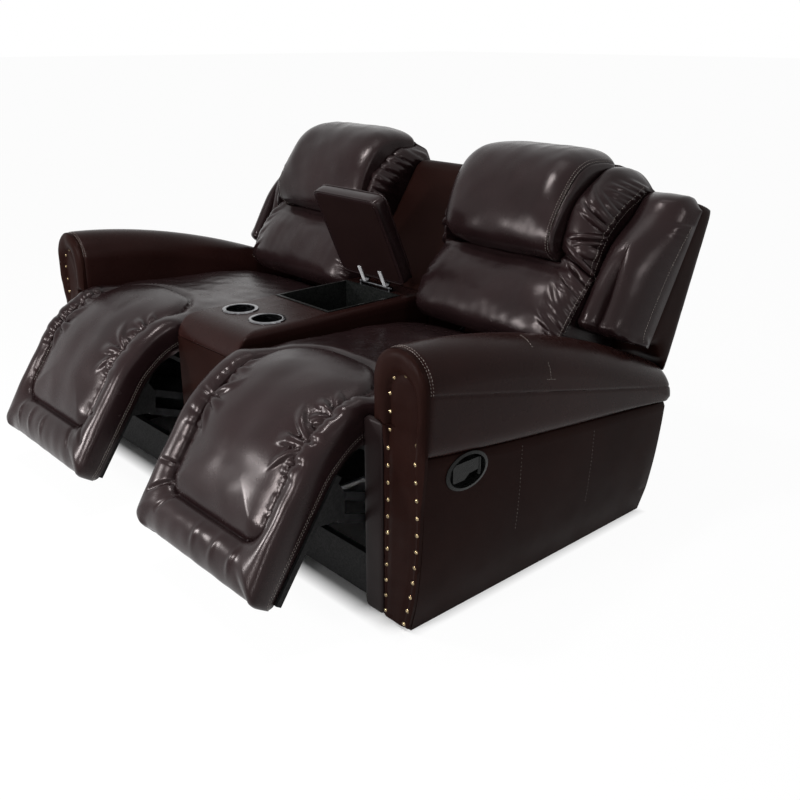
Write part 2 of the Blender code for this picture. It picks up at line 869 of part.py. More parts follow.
def build_mechanism(side, label):
    """Side plates, drive tube with cranks, idler tube with cranks, and the link bars of one seat."""
    drive, idler = link_place(drive_distance), link_place(idler_distance)
    front = panel_thickness + fit_gap + rail_thickness + fit_gap
    rear = rear_rail_y - fit_gap
    top = deck_height - fit_gap
    boss = circle(flat(recline), bracket_boss, 9, math.pi / 2, -math.pi)
    outline = [(behind(front), rail_foot), (behind(front), top - 0.3 * rail_top), (behind(deck_front), top)]
    outline += [(recline.y - 2 * bracket_boss, top)] + boss + [(behind(rear), recline_z - 2 * bracket_boss)]
    outline += [(behind(rear), rail_foot)]
    holes = [circle(flat(place), tube_radius + pin_fit, 20) for place in (drive, idler)]
    holes.append(circle(flat(recline), pin_radius + pin_fit, 16))
    half = (seat_outer - seat_inner) / 2 - plate_inset
    for sign, end in ((1, "outer"), (-1, "inner")):
        faces = sorted(side * (seat_mid + sign * (half - depth)) for depth in (0, plate_thickness))
        plate(f"side_plate_{label}_{end}", [outline] + holes, faces[0], faces[1], black_steel)

    reach = Vector((half, 0, 0))
    tubes = []
    middle = Vector((side * seat_mid, 0, 0))
    for name, pivot, pins in (
        ("drive_tube_", drive, (upper_pin, lower_pin)),
        ("idler_tube_", idler, (upper_pin, lower_pin)),
    ):
        tube = rod(name + label, middle + pivot - reach, middle + pivot + reach, tube_radius, black_steel)
        tip = crank_pin(pivot, pins[-1])
        for sign in (1, -1):
            near, far = sorted(side * x for x in layer(sign, 0))
            crank = plate(name + "crank", [bar_outline(flat(pivot), flat(tip), link_width)], near, far, None, group=cutters)
            cut(tube, crank, "UNION")
            for radius in pins:
                stud = pin_stud(side, sign, crank_pin(pivot, radius))
                cut(tube, stud, "UNION")
        hang(axis_empty(name + "axis_" + label, middle + pivot), tube)
        tubes.append(tube)

    for name, radius in (("upper_link_", upper_pin), ("lower_link_", lower_pin)):
        places = [flat(crank_pin(pivot, radius)) for pivot in (fold, drive, idler)]
        bores = [circle(place, pin_radius + pin_fit, 12) for place in places]
        outline = bar_outline(places[0], places[-1], link_width)
        empty = axis_empty(name + "axis_" + label, middle + crank_pin(drive, radius))
        for sign, end in ((1, "outer"), (-1, "inner")):
            near, far = sorted(side * x for x in layer(sign, 1))
            bar = plate(f"{name}{label}_{end}", [outline] + bores, near, far, black_steel)
            hang(empty, bar)


def pin_stud(side, sign, place):
    """A pin through the crank and link layers."""
    outer, _ = layer(sign, 0)
    _, inner = layer(sign, 1)
    inner -= sign * fit_gap
    return rod(
        "pin_stud",
        place + Vector((side * outer, 0, 0)),
        place + Vector((side * inner, 0, 0)),
        pin_radius,
        None,
        cutters,
        12,
    )


def build_footrest(side, label):
    """The board with its steel ears, and the pad: a raised middle in a U of border roll."""
    low = [slope_point(0, down, out) for down, out in ((board_upper, 0), (board_lower, 0))]
    high = [slope_point(0, down, board_thickness) for down in (board_lower, board_upper)]
    near, far = sorted((side * board_inner, side * board_outer))
    board = plate("footrest_board_" + label, [[flat(point) for point in low + high]], near, far, black_board)
    upper, lower = crank_pin(fold, upper_pin), crank_pin(fold, lower_pin)
    foot_upper = slope_point(0, board_upper * 1.15, board_thickness * ear_foot_share)
    foot_lower = slope_point(0, board_lower * 0.52, board_thickness * ear_foot_share)
    ear = [flat(foot_lower), flat(foot_upper)]
    ear += circle(flat(upper), link_width / 2, 7, math.radians(60), -math.radians(110))
    ear += circle(flat(lower), link_width / 2, 9, -math.radians(30), -math.radians(140))
    for sign in (1, -1):
        faces = sorted(side * x for x in layer(sign, 0))
        lug = plate("footrest_ear", [ear], faces[0], faces[1], None, group=cutters)
        cut(board, lug, "UNION")
        for pin in (upper, lower):
            cut(board, pin_stud(side, sign, pin), "UNION")

    low_edge = board_thickness + fit_gap
    half = (pad_outer - pad_inner) / 2
    middle = (pad_outer + pad_inner) / 2

    def surface(from_side, from_end):
        """How far out of the board the pad's face is, by its distance from side and lower end."""
        border = min(from_side / pad_border_width, from_end / pad_end_border)
        if border < 1:
            swell = math.sin(math.pi * min(max(border, 0), 1)) ** 0.7
            base = blend(pad_seam_out, pad_groove_out, smooth(border))
            return base + (pad_border_out - blend(pad_seam_out, pad_groove_out, 0.5)) * swell
        rise = 1 - math.exp(-(border - 1) * 3.2)
        return blend(pad_groove_out, pad_crown_out, rise)

    clear = board_upper * clear_share

    def place(across, down, up):
        face = surface(half * (1 - abs(across)), pad_lower - down)
        under = low_edge
        if down < clear:
            bend = smooth((clear - down) / clear)
            ring = math.sqrt(max(1 - (min(down, 0) / pad_fold_radius) ** 2, pad_tip_share))
            face = blend(face, fold_out + pad_fold_radius * ring, bend)
            under = blend(low_edge, fold_out - pad_fold_radius * ring, bend)
        end = smooth((pad_lower - down) / (pad_end_border * 0.3))
        face = blend(pad_seam_out, face, end)
        inset = pad_side_draw * (up + 1) / 2 * (abs(across) > 0.99)
        x = middle + (half - inset) * across
        return slope_point(side * x, down, blend(under, face, (up + 1) / 2))

    columns = mirrored((0, 0.35, 0.6, 0.68, 0.72, 0.79, 0.87, 0.95, 1))
    lower_shares = (1, 0.98, 0.945, 0.90, 0.85, 0.81, 0.775, 0.71, 0.6, 0.48, 0.35, 0.25)
    rows = [pad_lower * share for share in lower_shares] + [clear * share for share in (1, 0.7, 0.4, 0.2, 0)]
    rows += [-pad_fold_radius * share for share in (0.4, 0.7, 0.9, 1)]
    pad = cushion("footrest_pad_" + label, columns, rows, (-1, 1), place, leather)
    hang(axis_empty("footrest_axis_" + label, fold + Vector((side * middle, 0, 0))), board, pad)


def build_seat(side, label):
    """The seat's deck and its crowned cushion."""
    sides = sorted((side * (seat_inner + deck_inset), side * (seat_outer - deck_inset)))
    block(
        "seat_deck_" + label,
        (sides[0], behind(deck_front), deck_height),
        (sides[1], behind(deck_rear), deck_height + deck_thickness),
        wood,
    )
    low = deck_height + deck_thickness + fit_gap
    half = (seat_outer - seat_inner) / 2 - fit_gap

    def place(across, along, up):
        share = (along + 1) / 2
        y = blend(seat_front, seat_rear, share)
        edge = 1 - abs(across) ** 6
        crown = blend(seat_edge_height, seat_crown, edge * (1 - 0.25 * across * across))
        crown -= seat_rear_drop * smooth((share - 0.55) / 0.45)
        crown -= seat_front_drop * smooth((0.12 - share) / 0.12)
        inset = seat_side_draw * (up + 1) / 2 * (abs(across) > 0.99)
        x = seat_mid + (half - inset) * across
        return Vector((side * x, behind(y), blend(low, crown, (up + 1) / 2)))

    columns = mirrored((0, 0.4, 0.7, 0.88, 0.96, 1))
    rows = (-1, -0.94, -0.85, -0.6, -0.2, 0.2, 0.6, 0.85, 0.96, 1)
    cushion("seat_cushion_" + label, columns, rows, (-1, 0.4, 1), place, leather)


def arm_cutter(name, side, turn):
    """The room that the arm's top needs under a wing, turned back about the recline axis."""
    outline = []
    for share in (0.55, 0.65, 0.75, 0.85, 0.95, 1):
        depth = arm_depth * share
        outline.append((behind(depth), arm_top(depth) + arm_clearance))
    outline.append((behind(arm_depth) + arm_clearance, arm_top(arm_depth) + arm_clearance))
    outline += [(behind(arm_depth) + arm_clearance, 0), (behind(arm_depth * 0.55), 0)]
    spun = Matrix.Rotation(turn, 2)
    centre = Vector(flat(recline))
    outline = [tuple(centre + spun @ (Vector(point) - centre)) for point in outline]
    near, far = sorted((side * (wing_seam - fit_gap / 2), side * (half_width + overrun)))
    return plate(name, [outline], near, far, None, group=cutters)


def build_back(side, label):
    """One reclining back: brackets, shell, cushion, head pillow and outer wing."""
    axis = axis_empty("recline_axis_" + label, recline + Vector((side * seat_mid, 0, 0)))
    rear_to_pivot = (behind(back_foot_y) - recline.y) * math.cos(back_lean)
    rear_to_pivot -= (back_foot_z - recline.z) * math.sin(back_lean)
    top_rear, top_front = back_point(0, 0, back_top), back_point(0, shell_thickness, shell_top_out)
    outline = [flat(top_rear)]
    outline += circle(flat(recline), rear_to_pivot, 8, -back_lean, -apron_sweep)
    outline += circle(flat(recline), rear_to_pivot - apron_wall, 8, -back_lean - apron_sweep, apron_sweep)
    outline += [flat(back_point(0, apron_wall, bracket_low)), flat(back_point(0, shell_thickness, bracket_low))]
    outline += [flat(top_front)]
    near, far = sorted((side * seat_inner, side * (wing_seam - fit_gap)))
    shell = plate("back_shell_" + label, [outline], near, far, leather)
    wing_outline = [
        flat(back_point(0, 0, back_top)),
        flat(back_point(0, 0, wing_foot)),
        flat(back_point(0, wing_shell_foot_depth, wing_foot)),
        flat(back_point(0, wing_shell_top_depth, back_top)),
    ]
    near, far = sorted((side * wing_seam, side * wing_shell_outer))
    flank = plate("wing_shell_" + label, [wing_outline], near, far, None, group=cutters)
    root_low, root_high = 2 * wing_foot, back_top - wing_foot
    root = [flat(back_point(0, fit_gap, up)) for up in (root_low, root_high)]
    root += [flat(back_point(0, wing_shell_top_depth - fit_gap, up)) for up in (root_high, root_low)]
    near, far = sorted((side * (wing_seam - overrun), side * (wing_seam + overrun)))
    tie = plate("wing_root_" + label, [root], near, far, None, group=cutters)
    tools = [arm_cutter("arm_room_" + label, side, 0), arm_cutter("arm_room_reclined_" + label, side, recline_angle)]
    cut(shell, tie, "UNION")
    cut(shell, flank, "UNION")
    for tool in tools:
        cut(shell, tool)

    half_seat = (seat_outer - seat_inner) / 2
    boss = circle(flat(recline), bracket_boss, 10, math.radians(75), math.radians(205))
    grip = [flat(back_point(0, shell_thickness + fit_gap, up)) for up in (bracket_low, bracket_up)]
    for sign, end in ((1, "outer"), (-1, "inner")):
        outer = half_seat - plate_inset + bracket_gap + link_thickness
        faces = sorted(side * (seat_mid + sign * x) for x in (outer, outer - link_thickness))
        bracket = plate(f"back_bracket_{label}_{end}", [grip + boss], faces[0], faces[1], black_steel)
        stud = rod(
            "back_pin",
            recline + Vector((side * (seat_mid + sign * outer), 0, 0)),
            recline + Vector((side * (seat_mid + sign * (half_seat - plate_inset - plate_thickness)), 0, 0)),
            pin_radius,
            None,
            cutters,
            12,
        )
        cut(bracket, stud, "UNION")
        hang(axis, bracket)

    pad = build_back_cushion(side, label)
    pillow = build_headrest(side, label)
    wing = build_wing(side, label, tools)
    hang(axis, shell, pad, pillow, wing)


def read_table(table, share):
    """The values of a table at a share, read straight between its rows."""
    for (low, *first), (high, *second) in zip(table, table[1:]):
        if share <= high:
            step = max(share - low, 0) / (high - low)
            return [blend(one, other, step) for one, other in zip(first, second)]
    return table[-1][1:]


def build_back_cushion(side, label):
    """The lumbar roll and the two columns that rise beside the head pillow's bed."""
    rear = shell_thickness + fit_gap
    outer = wing_seam - fit_gap
    middle, half = (outer + seat_inner) / 2, (outer - seat_inner) / 2
    bed_low = (headrest_inner - head_gap - middle) / half
    bed_high = (headrest_outer + head_gap - middle) / half
    bed_foot = (headrest_foot - head_gap - cushion_foot) / (cushion_top - cushion_foot)
    wall = head_gap / half
    step = head_gap / (cushion_top - cushion_foot)
    belly_shares = (
        (0, 0.80), (0.037, 0.94), (0.085, 1.0), (0.19, 1.0), (0.3, 0.93), (0.37, 0.85), (0.444, 0.74),
        (0.536, 0.80), (0.707, 0.80), (0.8, 0.70), (0.9, 0.52), (0.97, 0.38), (1, 0.24),
    )
    seam_shares = (
        (0, 0.68), (0.04, 0.76), (0.11, 0.765), (0.427, 0.56), (0.655, 0.46), (0.83, 0.245), (0.92, 0.08),
        (1, 0.05),
    )

    def place(across, along, up):
        inside = bed_low - wall / 2 < across < bed_high + wall / 2
        full = read_table(belly_shares, along)[0]
        seam = read_table(seam_shares, along)[0]
        to_side = (across - bed_high) / (1 - bed_high) if across > 0 else (bed_low - across) / (1 + bed_low)
        depth = blend(full, seam, smooth(to_side)) if to_side > 0 else full
        if inside and along > bed_foot - step / 2:
            depth = bed_share
        height = blend(cushion_foot, cushion_top, along)
        return back_point(side * (middle + half * across), rear + cushion_depth * depth * (up + 1) / 2, height)

    columns = [-1, (bed_low - 1) / 2, bed_low - wall, bed_low]
    columns += [blend(bed_low, bed_high, share) for share in (0.25, 0.5, 0.75)]
    columns += [bed_high, bed_high + wall] + [blend(bed_high, 1, share) for share in (0.35, 0.6, 0.82, 1)]
    rows = [0, 0.03, 0.08, 0.15, 0.24, 0.33, 0.4, bed_foot - step, bed_foot]
    rows += [blend(bed_foot, 1, share) for share in (0.2, 0.45, 0.65, 0.8, 0.92, 1)]
    return cushion("back_cushion_" + label, columns, rows, (-1, 0.3, 1), place, leather)


def build_headrest(side, label):
    """The head pillow, which leans out over the lumbar roll and folds back over the top."""
    rear = shell_thickness + 2 * fit_gap + cushion_depth * bed_share
    middle, half = (headrest_outer + headrest_inner) / 2, (headrest_outer - headrest_inner) / 2
    front_shares = (
        (0, 0.66, 0.447), (0.1, 0.86, 0.452), (0.22, 0.965, 0.49), (0.36, 1.0, 0.575), (0.52, 0.985, 0.683),
        (0.68, 0.90, 0.792), (0.82, 0.76, 0.895), (0.92, 0.62, 0.965), (1, 0.47, 1.0),
    )

    def place(across, along, up):
        forward, height = read_table(front_shares, along)
        edge = smooth((abs(across) - 0.82) / 0.18)
        ahead = rear + (forward * head_reach - rear) * (1 - 0.14 * edge)
        behind_height = blend(headrest_foot, head_rise * 0.97, along)
        swell = head_gap * (1 - up * up) * (along > 0.99)
        share = (up + 1) / 2
        tall = blend(behind_height, height * head_rise * (1 - 0.015 * edge), share) + swell
        inset = head_gap * share * (abs(across) > 0.99)
        return back_point(side * (middle + (half - inset) * across), blend(rear, ahead, share), tall)

    columns = mirrored((0, 0.4, 0.7, 0.84, 0.93, 1))
    rows = (0, 0.05, 0.12, 0.22, 0.36, 0.52, 0.66, 0.78, 0.88, 0.95, 1)
    return cushion("headrest_" + label, columns, rows, (-1, 0, 1), place, leather)


def build_wing(side, label, tools):
    """The outer wing: two lobes that slope back from the cushion's seam to the shell's edge."""
    seam_shares = ((0.0, 1.0), (0.35, 0.83), (0.6, 0.73), (0.8, 0.52), (1.0, 0.36))
    edge_shares = ((0.0, 0.58), (0.3, 0.53), (0.6, 0.42), (1.0, 0.31))
    foot, top = wing_foot, back_top + wing_top_rise
    near = wing_seam + fit_gap

    def place(across, along, up):
        share = (along + 1) / 2
        cross = (across + 1) / 2
        height = blend(foot, top, share)
        shell_face = blend(wing_shell_foot_depth, wing_shell_top_depth, share) + fit_gap * 2
        seam, edge = (read_table(table, share)[0] * wing_reach for table in (seam_shares, edge_shares))
        face = blend(seam, max(edge, shell_face + wing_edge), cross)
        lobes = wing_lobe * abs(math.sin(2 * math.pi * cross)) ** 0.8
        ends = smooth((1 - abs(along)) / 0.12)
        face = blend(shell_face + wing_end_swell, face + lobes, 0.35 + 0.65 * ends)
        x = blend(near, wing_outer, cross)
        return back_point(side * x, blend(shell_face, face, (up + 1) / 2), height)

    columns = (-1, -0.8, -0.5, -0.2, 0, 0.2, 0.5, 0.8, 1)
    rows = (-1, -0.9, -0.7, -0.4, -0.1, 0.2, 0.5, 0.78, 0.93, 1)
    wing = cushion("wing_" + label, columns, rows, (-1, 1), place, leather)
    for tool in tools:
        cut(wing, tool)
    return wing


build_base()
build_console()
build_lid()
for side, label in ((1, "right"), (-1, "left")):
    build_arm(side, label)
    build_handle(side, label)
    build_mechanism(side, label)
    build_footrest(side, label)
    build_seat(side, label)
    build_back(side, label)
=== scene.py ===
"""The looks of a reclining loveseat with a centre console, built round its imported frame."""

import math

import bmesh
import bpy
import numpy as np
from mathutils import Matrix, Vector


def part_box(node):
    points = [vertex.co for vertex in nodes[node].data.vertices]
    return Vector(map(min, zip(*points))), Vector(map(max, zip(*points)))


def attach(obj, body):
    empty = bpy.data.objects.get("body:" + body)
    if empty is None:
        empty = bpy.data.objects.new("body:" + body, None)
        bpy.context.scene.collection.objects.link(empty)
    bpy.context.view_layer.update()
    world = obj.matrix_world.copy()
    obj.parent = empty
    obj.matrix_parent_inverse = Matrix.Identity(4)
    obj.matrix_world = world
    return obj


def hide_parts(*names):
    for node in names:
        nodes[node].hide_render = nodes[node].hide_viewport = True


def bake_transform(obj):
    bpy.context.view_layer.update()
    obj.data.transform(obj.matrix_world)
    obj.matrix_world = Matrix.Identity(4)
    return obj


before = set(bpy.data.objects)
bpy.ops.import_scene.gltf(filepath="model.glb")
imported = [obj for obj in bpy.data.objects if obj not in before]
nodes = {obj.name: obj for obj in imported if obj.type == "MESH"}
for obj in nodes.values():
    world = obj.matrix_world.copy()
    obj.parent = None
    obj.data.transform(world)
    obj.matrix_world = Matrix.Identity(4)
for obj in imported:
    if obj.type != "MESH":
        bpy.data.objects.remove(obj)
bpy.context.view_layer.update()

# the arms' front in the frame's y: a depth below is measured back from it
front_y = -0.42


# the camera
def add_object(name, data):
    made = bpy.data.objects.new(name, data)
    bpy.context.scene.collection.objects.link(made)
    return made


def add_camera():
    """The photograph's camera."""
    yaw, pitch, roll = (math.radians(angle) for angle in (47.78, 21.33, 0.128))
    look = Vector((-math.sin(yaw) * math.cos(pitch), math.cos(yaw) * math.cos(pitch), -math.sin(pitch)))
    place = Matrix.Translation((2.2503, -1.6992, 1.3332))
    aim = look.to_track_quat("-Z", "Y").to_matrix().to_4x4()
    camera = add_object("camera", bpy.data.cameras.new("camera"))
    camera.matrix_world = place @ aim @ Matrix.Rotation(roll, 4, "Z")
    camera.data.sensor_width = 36
    camera.data.lens = 42.08
    bpy.context.scene.camera = camera


# materials
def new_material(name):
    skin = bpy.data.materials.new(name)
    skin.use_nodes = True
    return skin, skin.node_tree, skin.node_tree.nodes["Principled BSDF"]


def feed(node, inputs):
    """Set a node's inputs to values, or link them to outputs of other nodes."""
    for key, value in inputs.items():
        if isinstance(value, bpy.types.NodeSocket):
            node.id_data.links.new(value, node.inputs[key])
        else:
            node.inputs[key].default_value = value


def add_node(tree, kind, inputs=None, **settings):
    made = tree.nodes.new("ShaderNode" + kind)
    for key, value in settings.items():
        setattr(made, key, value)
    feed(made, inputs or {})
    return made


def calc(tree, operation, *values):
    """What a maths node makes of numbers or outputs."""
    return add_node(tree, "Math", dict(enumerate(values)), operation=operation).outputs[0]


def coords(tree):
    found = [n for n in tree.nodes if n.bl_idname == "ShaderNodeTexCoord"]
    made = found[0] if found else add_node(tree, "TexCoord")
    return made.outputs["Object"]


def noise(tree, scale, detail=3.0):
    made = add_node(tree, "TexNoise", {"Vector": coords(tree), "Scale": scale, "Detail": detail})
    return made.outputs["Fac"]


def ramp(tree, source, low, high, near=0.35, far=0.65):
    """A source from 0 to 1 turned into numbers or colours between two."""
    made = add_node(tree, "ValToRGB", {"Fac": source})
    for element, place, value in zip(made.color_ramp.elements, (near, far), (low, high)):
        element.position = place
        element.color = (*(np.ones(3) * value), 1)
    return made.outputs["Color"]


def bump(tree, shader, layers):
    """Bump from several heights: (output, strength, distance in metres)."""
    last = {}
    for height, strength, distance in layers:
        made = add_node(tree, "Bump", {"Height": height, "Strength": strength, "Distance": distance, **last})
        last = {"Normal": made.outputs["Normal"]}
    feed(shader, last)


def leather(name, dark, light, rough_low, rough_high, specular, grain=0.35):
    """Leather with a fine grain, whose colour and sheen vary slowly."""
    skin, tree, shader = new_material(name)
    feed(shader, {
        "Base Color": ramp(tree, noise(tree, 5.0, 4.0), dark, light, 0.3, 0.7),
        "Roughness": ramp(tree, noise(tree, 14.0, 4.0), rough_low, rough_high, 0.3, 0.7),
        "Specular IOR Level": specular,
        "Specular Tint": (1.0, 0.88, 0.87, 1),
    })
    cells = add_node(tree, "TexVoronoi", {"Vector": coords(tree), "Scale": 620})
    bump(tree, shader, [
        (cells.outputs["Distance"], grain, 0.0003),
        (noise(tree, 210.0), grain * 0.8, 0.0004),
        (noise(tree, 30.0), 0.1, 0.0012),
    ])
    return skin


def plain(name, low, high, rough, metallic=0.0, scale=40.0, specular=0.5, grit=0.15, size=0.0003):
    """A hard or matt finish with a slight unevenness."""
    skin, tree, shader = new_material(name)
    feed(shader, {
        "Base Color": ramp(tree, noise(tree, scale), low, high),
        "Roughness": ramp(tree, noise(tree, scale * 2.3), *rough),
        "Metallic": metallic,
        "Specular IOR Level": specular,
    })
    bump(tree, shader, [(noise(tree, scale * 9), grit, size)])
    return skin


hide = leather("brown_leather", (0.0072, 0.0036, 0.0038), (0.0115, 0.0058, 0.0061), 0.21, 0.29, 0.18, 0.28)
# The roll's and the side's leathers are lit and shaded copies of one leather: the side's is darker and
# duller, painted shade for the arms' sides and fronts, the console's case and back and the backs' covers.
lit_roll_hide = leather("lit_roll_leather", (0.01, 0.0036, 0.0031), (0.0144, 0.0053, 0.0046), 0.24, 0.32, 0.06)
shaded_side_hide = leather("shaded_side_leather", (0.008, 0.0029, 0.0023), (0.0112, 0.0043, 0.0034), 0.34, 0.44, 0.02)
# A darker copy of the leather: painted shade for the footrests' undersides and the strips beside them.
shade_hide = leather("shade_leather", (0.0045, 0.0026, 0.0026), (0.0072, 0.0042, 0.0042), 0.34, 0.46, 0.09)
lid_hide = leather("lid_lining", (0.006, 0.0026, 0.0024), (0.0085, 0.0038, 0.0036), 0.5, 0.6, 0.05, 0.3)
thread = plain("pale_thread", (0.17, 0.145, 0.13), (0.27, 0.24, 0.215), (0.5, 0.7), 0, 300)
brass = plain("antique_brass", (0.13, 0.094, 0.05), (0.36, 0.275, 0.16), (0.2, 0.36), 1, 130)
steel = plain("black_steel", (0.006, 0.006, 0.0065), (0.014, 0.014, 0.015), (0.36, 0.55), 0, 60, 0.25)
board = plain("black_board", (0.004, 0.004, 0.0042), (0.009, 0.0088, 0.009), (0.6, 0.8), 0, 120, 0.15)
plastic = plain(
    "black_plastic", (0.004, 0.0044, 0.0042), (0.008, 0.0084, 0.008), (0.24, 0.36), 0, 90, 0.16, 0.1, 0.0002
)
# Chrome dimmed so that it reflects dark: painted shade in the reflections of the cup holders and the lid's
# hinge.
dimmed_cup_steel = plain("dimmed_cup_steel", (0.1, 0.1, 0.105), (0.22, 0.22, 0.23), (0.1, 0.22), 1, 60, 0.5, 0.02)
bright = plain("bright_steel", (0.5, 0.5, 0.51), (0.72, 0.72, 0.73), (0.22, 0.34), 0.4, 60, 0.5, 0.02)


# small maths
def mix(low, high, share):
    return low + (high - low) * share


def smooth(share):
    share = np.clip(share, 0, 1)
    return share * share * (3 - 2 * share)


def bell(share):
    """A soft hump of 1 at 0."""
    return np.exp(-(share**2))


def rounded(share):
    """A quarter-round rise from 0 to 1."""
    return np.sqrt(1 - (1 - np.clip(share, 0, 1)) ** 2)


def fall(share):
    """How far a quarter-round edge has fallen, from 0 to 1."""
    return 1 - np.sqrt(1 - np.clip(share, 0, 1) ** 2)


def half_round(share):
    """A half-round rise from 0 to 1 and back."""
    return 2 * np.sqrt(np.clip(share * (1 - share), 0, 1))


def xyz(x, y, z):
    """Points from numbers or arrays."""
    return np.stack(np.broadcast_arrays(x, y, z), -1)


def arc(x, z, radius, turn):
    return np.stack([x + radius * np.cos(turn), z + radius * np.sin(turn)], 1)


def dense(points):
    """A smooth line of many points through a few."""
    p = np.asarray(points, float)
    p = np.vstack([2 * p[0] - p[1], p, 2 * p[-1] - p[-2]])
    t = np.linspace(0, 1, 24, endpoint=False)[:, None]
    out = []
    for a, b, c, d in zip(p, p[1:], p[2:], p[3:]):
        square, cube = 2 * a - 5 * b + 4 * c - d, 3 * b - a - 3 * c + d
        out.append(0.5 * (2 * b + (c - a) * t + square * t**2 + cube * t**3))
    return np.vstack([*out, p[-2:-1]])


def length_along(line):
    return np.r_[0, np.cumsum(np.linalg.norm(np.diff(line, axis=0), axis=1))]


def read_line(line, run, places):
    """Points of a line at these lengths along it."""
    return np.stack([np.interp(places, run, line[:, k]) for k in range(line.shape[1])], -1)


def resample(line, count):
    """The same line with evenly spaced points."""
    run = length_along(line)
    return read_line(line, run, np.linspace(0, run[-1], count))


def tangents(line):
    way = np.gradient(line, axis=0)
    return way / np.linalg.norm(way, axis=1, keepdims=True)


def table(points, places):
    """A smooth reading of a table of (place, value)."""
    line = dense(points)
    return np.interp(places, line[:, 0], line[:, 1])


def uneven(stops):
    """Places along a side from (place, spacing) stops, with the spacing easing from one to the next."""
    out = [stops[0][0]]
    places, gaps = zip(*stops)
    while out[-1] < places[-1] - 1e-9:
        out.append(out[-1] + float(np.interp(out[-1], places, gaps)))
    out = np.array(out)
    return places[0] + (out - places[0]) * (places[-1] - places[0]) / (out[-1] - places[0])


def normals(grid):
    way = np.cross(np.gradient(grid, axis=1), np.gradient(grid, axis=0))
    return way / np.maximum(np.linalg.norm(way, axis=2, keepdims=True), 1e-12)


def at(grid, rows, cols):
    """Points of a grid between its rows and columns."""
    rows, cols = np.broadcast_arrays(
        np.clip(rows, 0, grid.shape[0] - 1.001), np.clip(cols, 0, grid.shape[1] - 1.001)
    )
    r, c = rows.astype(int), cols.astype(int)
    down, across = (rows - r)[:, None], (cols - c)[:, None]
    low = mix(grid[r, c], grid[r, c + 1], across)
    high = mix(grid[r + 1, c], grid[r + 1, c + 1], across)
    return mix(low, high, down)


def index_of(places, value):
    return np.interp(value, places, np.arange(len(places)))


# folds of soft leather
def uneasy(seed, u, v, size, stretch=1.0):
    """Slow unevenness over a surface: waves about this long, with a spread of 1."""
    rng = np.random.default_rng(seed)
    out = 0 * (u + v)
    for _ in range(14):
        turn = rng.uniform(0, 2 * math.pi)
        rate = 2 * math.pi / (size * rng.uniform(0.6, 1.8))
        wave = rate * (math.cos(turn) * u + math.sin(turn) * v / stretch)
        out = out + np.sin(wave + rng.uniform(0, 2 * math.pi))
    return out / math.sqrt(7)


def ridge_at(u, v, place, slant, wide, tall):
    """A soft ridge over a place of a sheet, this wide and this tall, which slants as v grows."""
    ahead = v - place[1]
    return bell((u - place[0] - slant * ahead) / wide) * bell(ahead / tall)


def pleats(along, away, folds, start=0.005):
    """Rounded folds that run away from a seam, with sharp valleys where neighbours meet.

    Each fold is (place along the seam, slant, length, width, height).
    """
    out = np.zeros_like(away)
    for place, slant, length, width, height in folds:
        reach = np.clip(away / length, 0, 2)
        u = (along - place - slant * away) / (width * (0.5 + 0.22 * reach))
        ridge = np.clip(1 - u * u, 0, 1) ** 0.6
        out = np.maximum(out, height * ridge * smooth(away / start) * (1 - smooth((reach - 0.4) / 0.7)))
    return out


def row_of_pleats(seed, first, last, step, slant, length, width, height):
    """Uneven pleats along a stretch of seam."""
    rng = np.random.default_rng(seed)
    folds = []
    place = first
    while place < last:
        size = rng.uniform(0.65, 1.25)
        shift, turn, long = rng.uniform(-0.2, 0.2), rng.uniform(-0.22, 0.22), rng.uniform(0.6, 1.15)
        high = size * rng.uniform(0.75, 1.15)
        folds.append((place + shift * step, slant + turn, length * long, width * size, height * high))
        place += step * size
    return folds


def held_edges(grid, count):
    """How firmly each point is held: fully along the outer rows and columns."""
    pins = np.zeros(grid.shape[:2])
    pins[:count] = pins[-count:] = 1
    pins[:, :count] = pins[:, -count:] = 1
    return pins


def bending(sheet):
    return sheet[:, :-2] + sheet[:, 2:] - 2 * sheet[:, 1:-1]


def draw_together(sheet, rest, free):
    """Bring neighbours along the rows of a sheet towards their rest lengths."""
    for start in (0, 1):
        a, b = sheet[:, start:-1:2], sheet[:, start + 1 :: 2]
        size = np.linalg.norm(b - a, axis=2)
        push = (b - a) * ((size - rest[:, start::2]) / np.maximum(size, 1e-9) * 0.5)[..., None]
        a += push * free[:, start:-1:2]
        b -= push * free[:, start + 1 :: 2]


def relax(base, folds, pinned, puff, cap, steps=14):
    """Leather on foam: a sheet that keeps the length its loose folds need and settles.

    pinned holds the seams, puff is how far the filling swells and cap how far a point may move.
    """
    foam, stiffness = 0.01, 0.015
    way = normals(base)
    free = (1 - pinned)[..., None]
    target = base + way * puff * free
    sheet = target + way * folds[..., None] * free
    turned = [(sheet, base, free), tuple(part.swapaxes(0, 1) for part in (sheet, base, free))]
    rests = [np.linalg.norm(np.diff(part, axis=1), axis=2) for part, _, _ in turned]
    for _ in range(steps):
        sheet += foam * (target - sheet) * free
        for (part, _, loose), rest in zip(turned, rests):
            draw_together(part, rest, loose)
        for part, filling, loose in turned:
            part[:, 1:-1] += stiffness * (bending(part) - bending(filling)) * loose[:, 1:-1]
    moved = sheet - base
    far = np.linalg.norm(moved, axis=2, keepdims=True)
    return base + moved * np.minimum(1, cap / np.maximum(far, 1e-9))


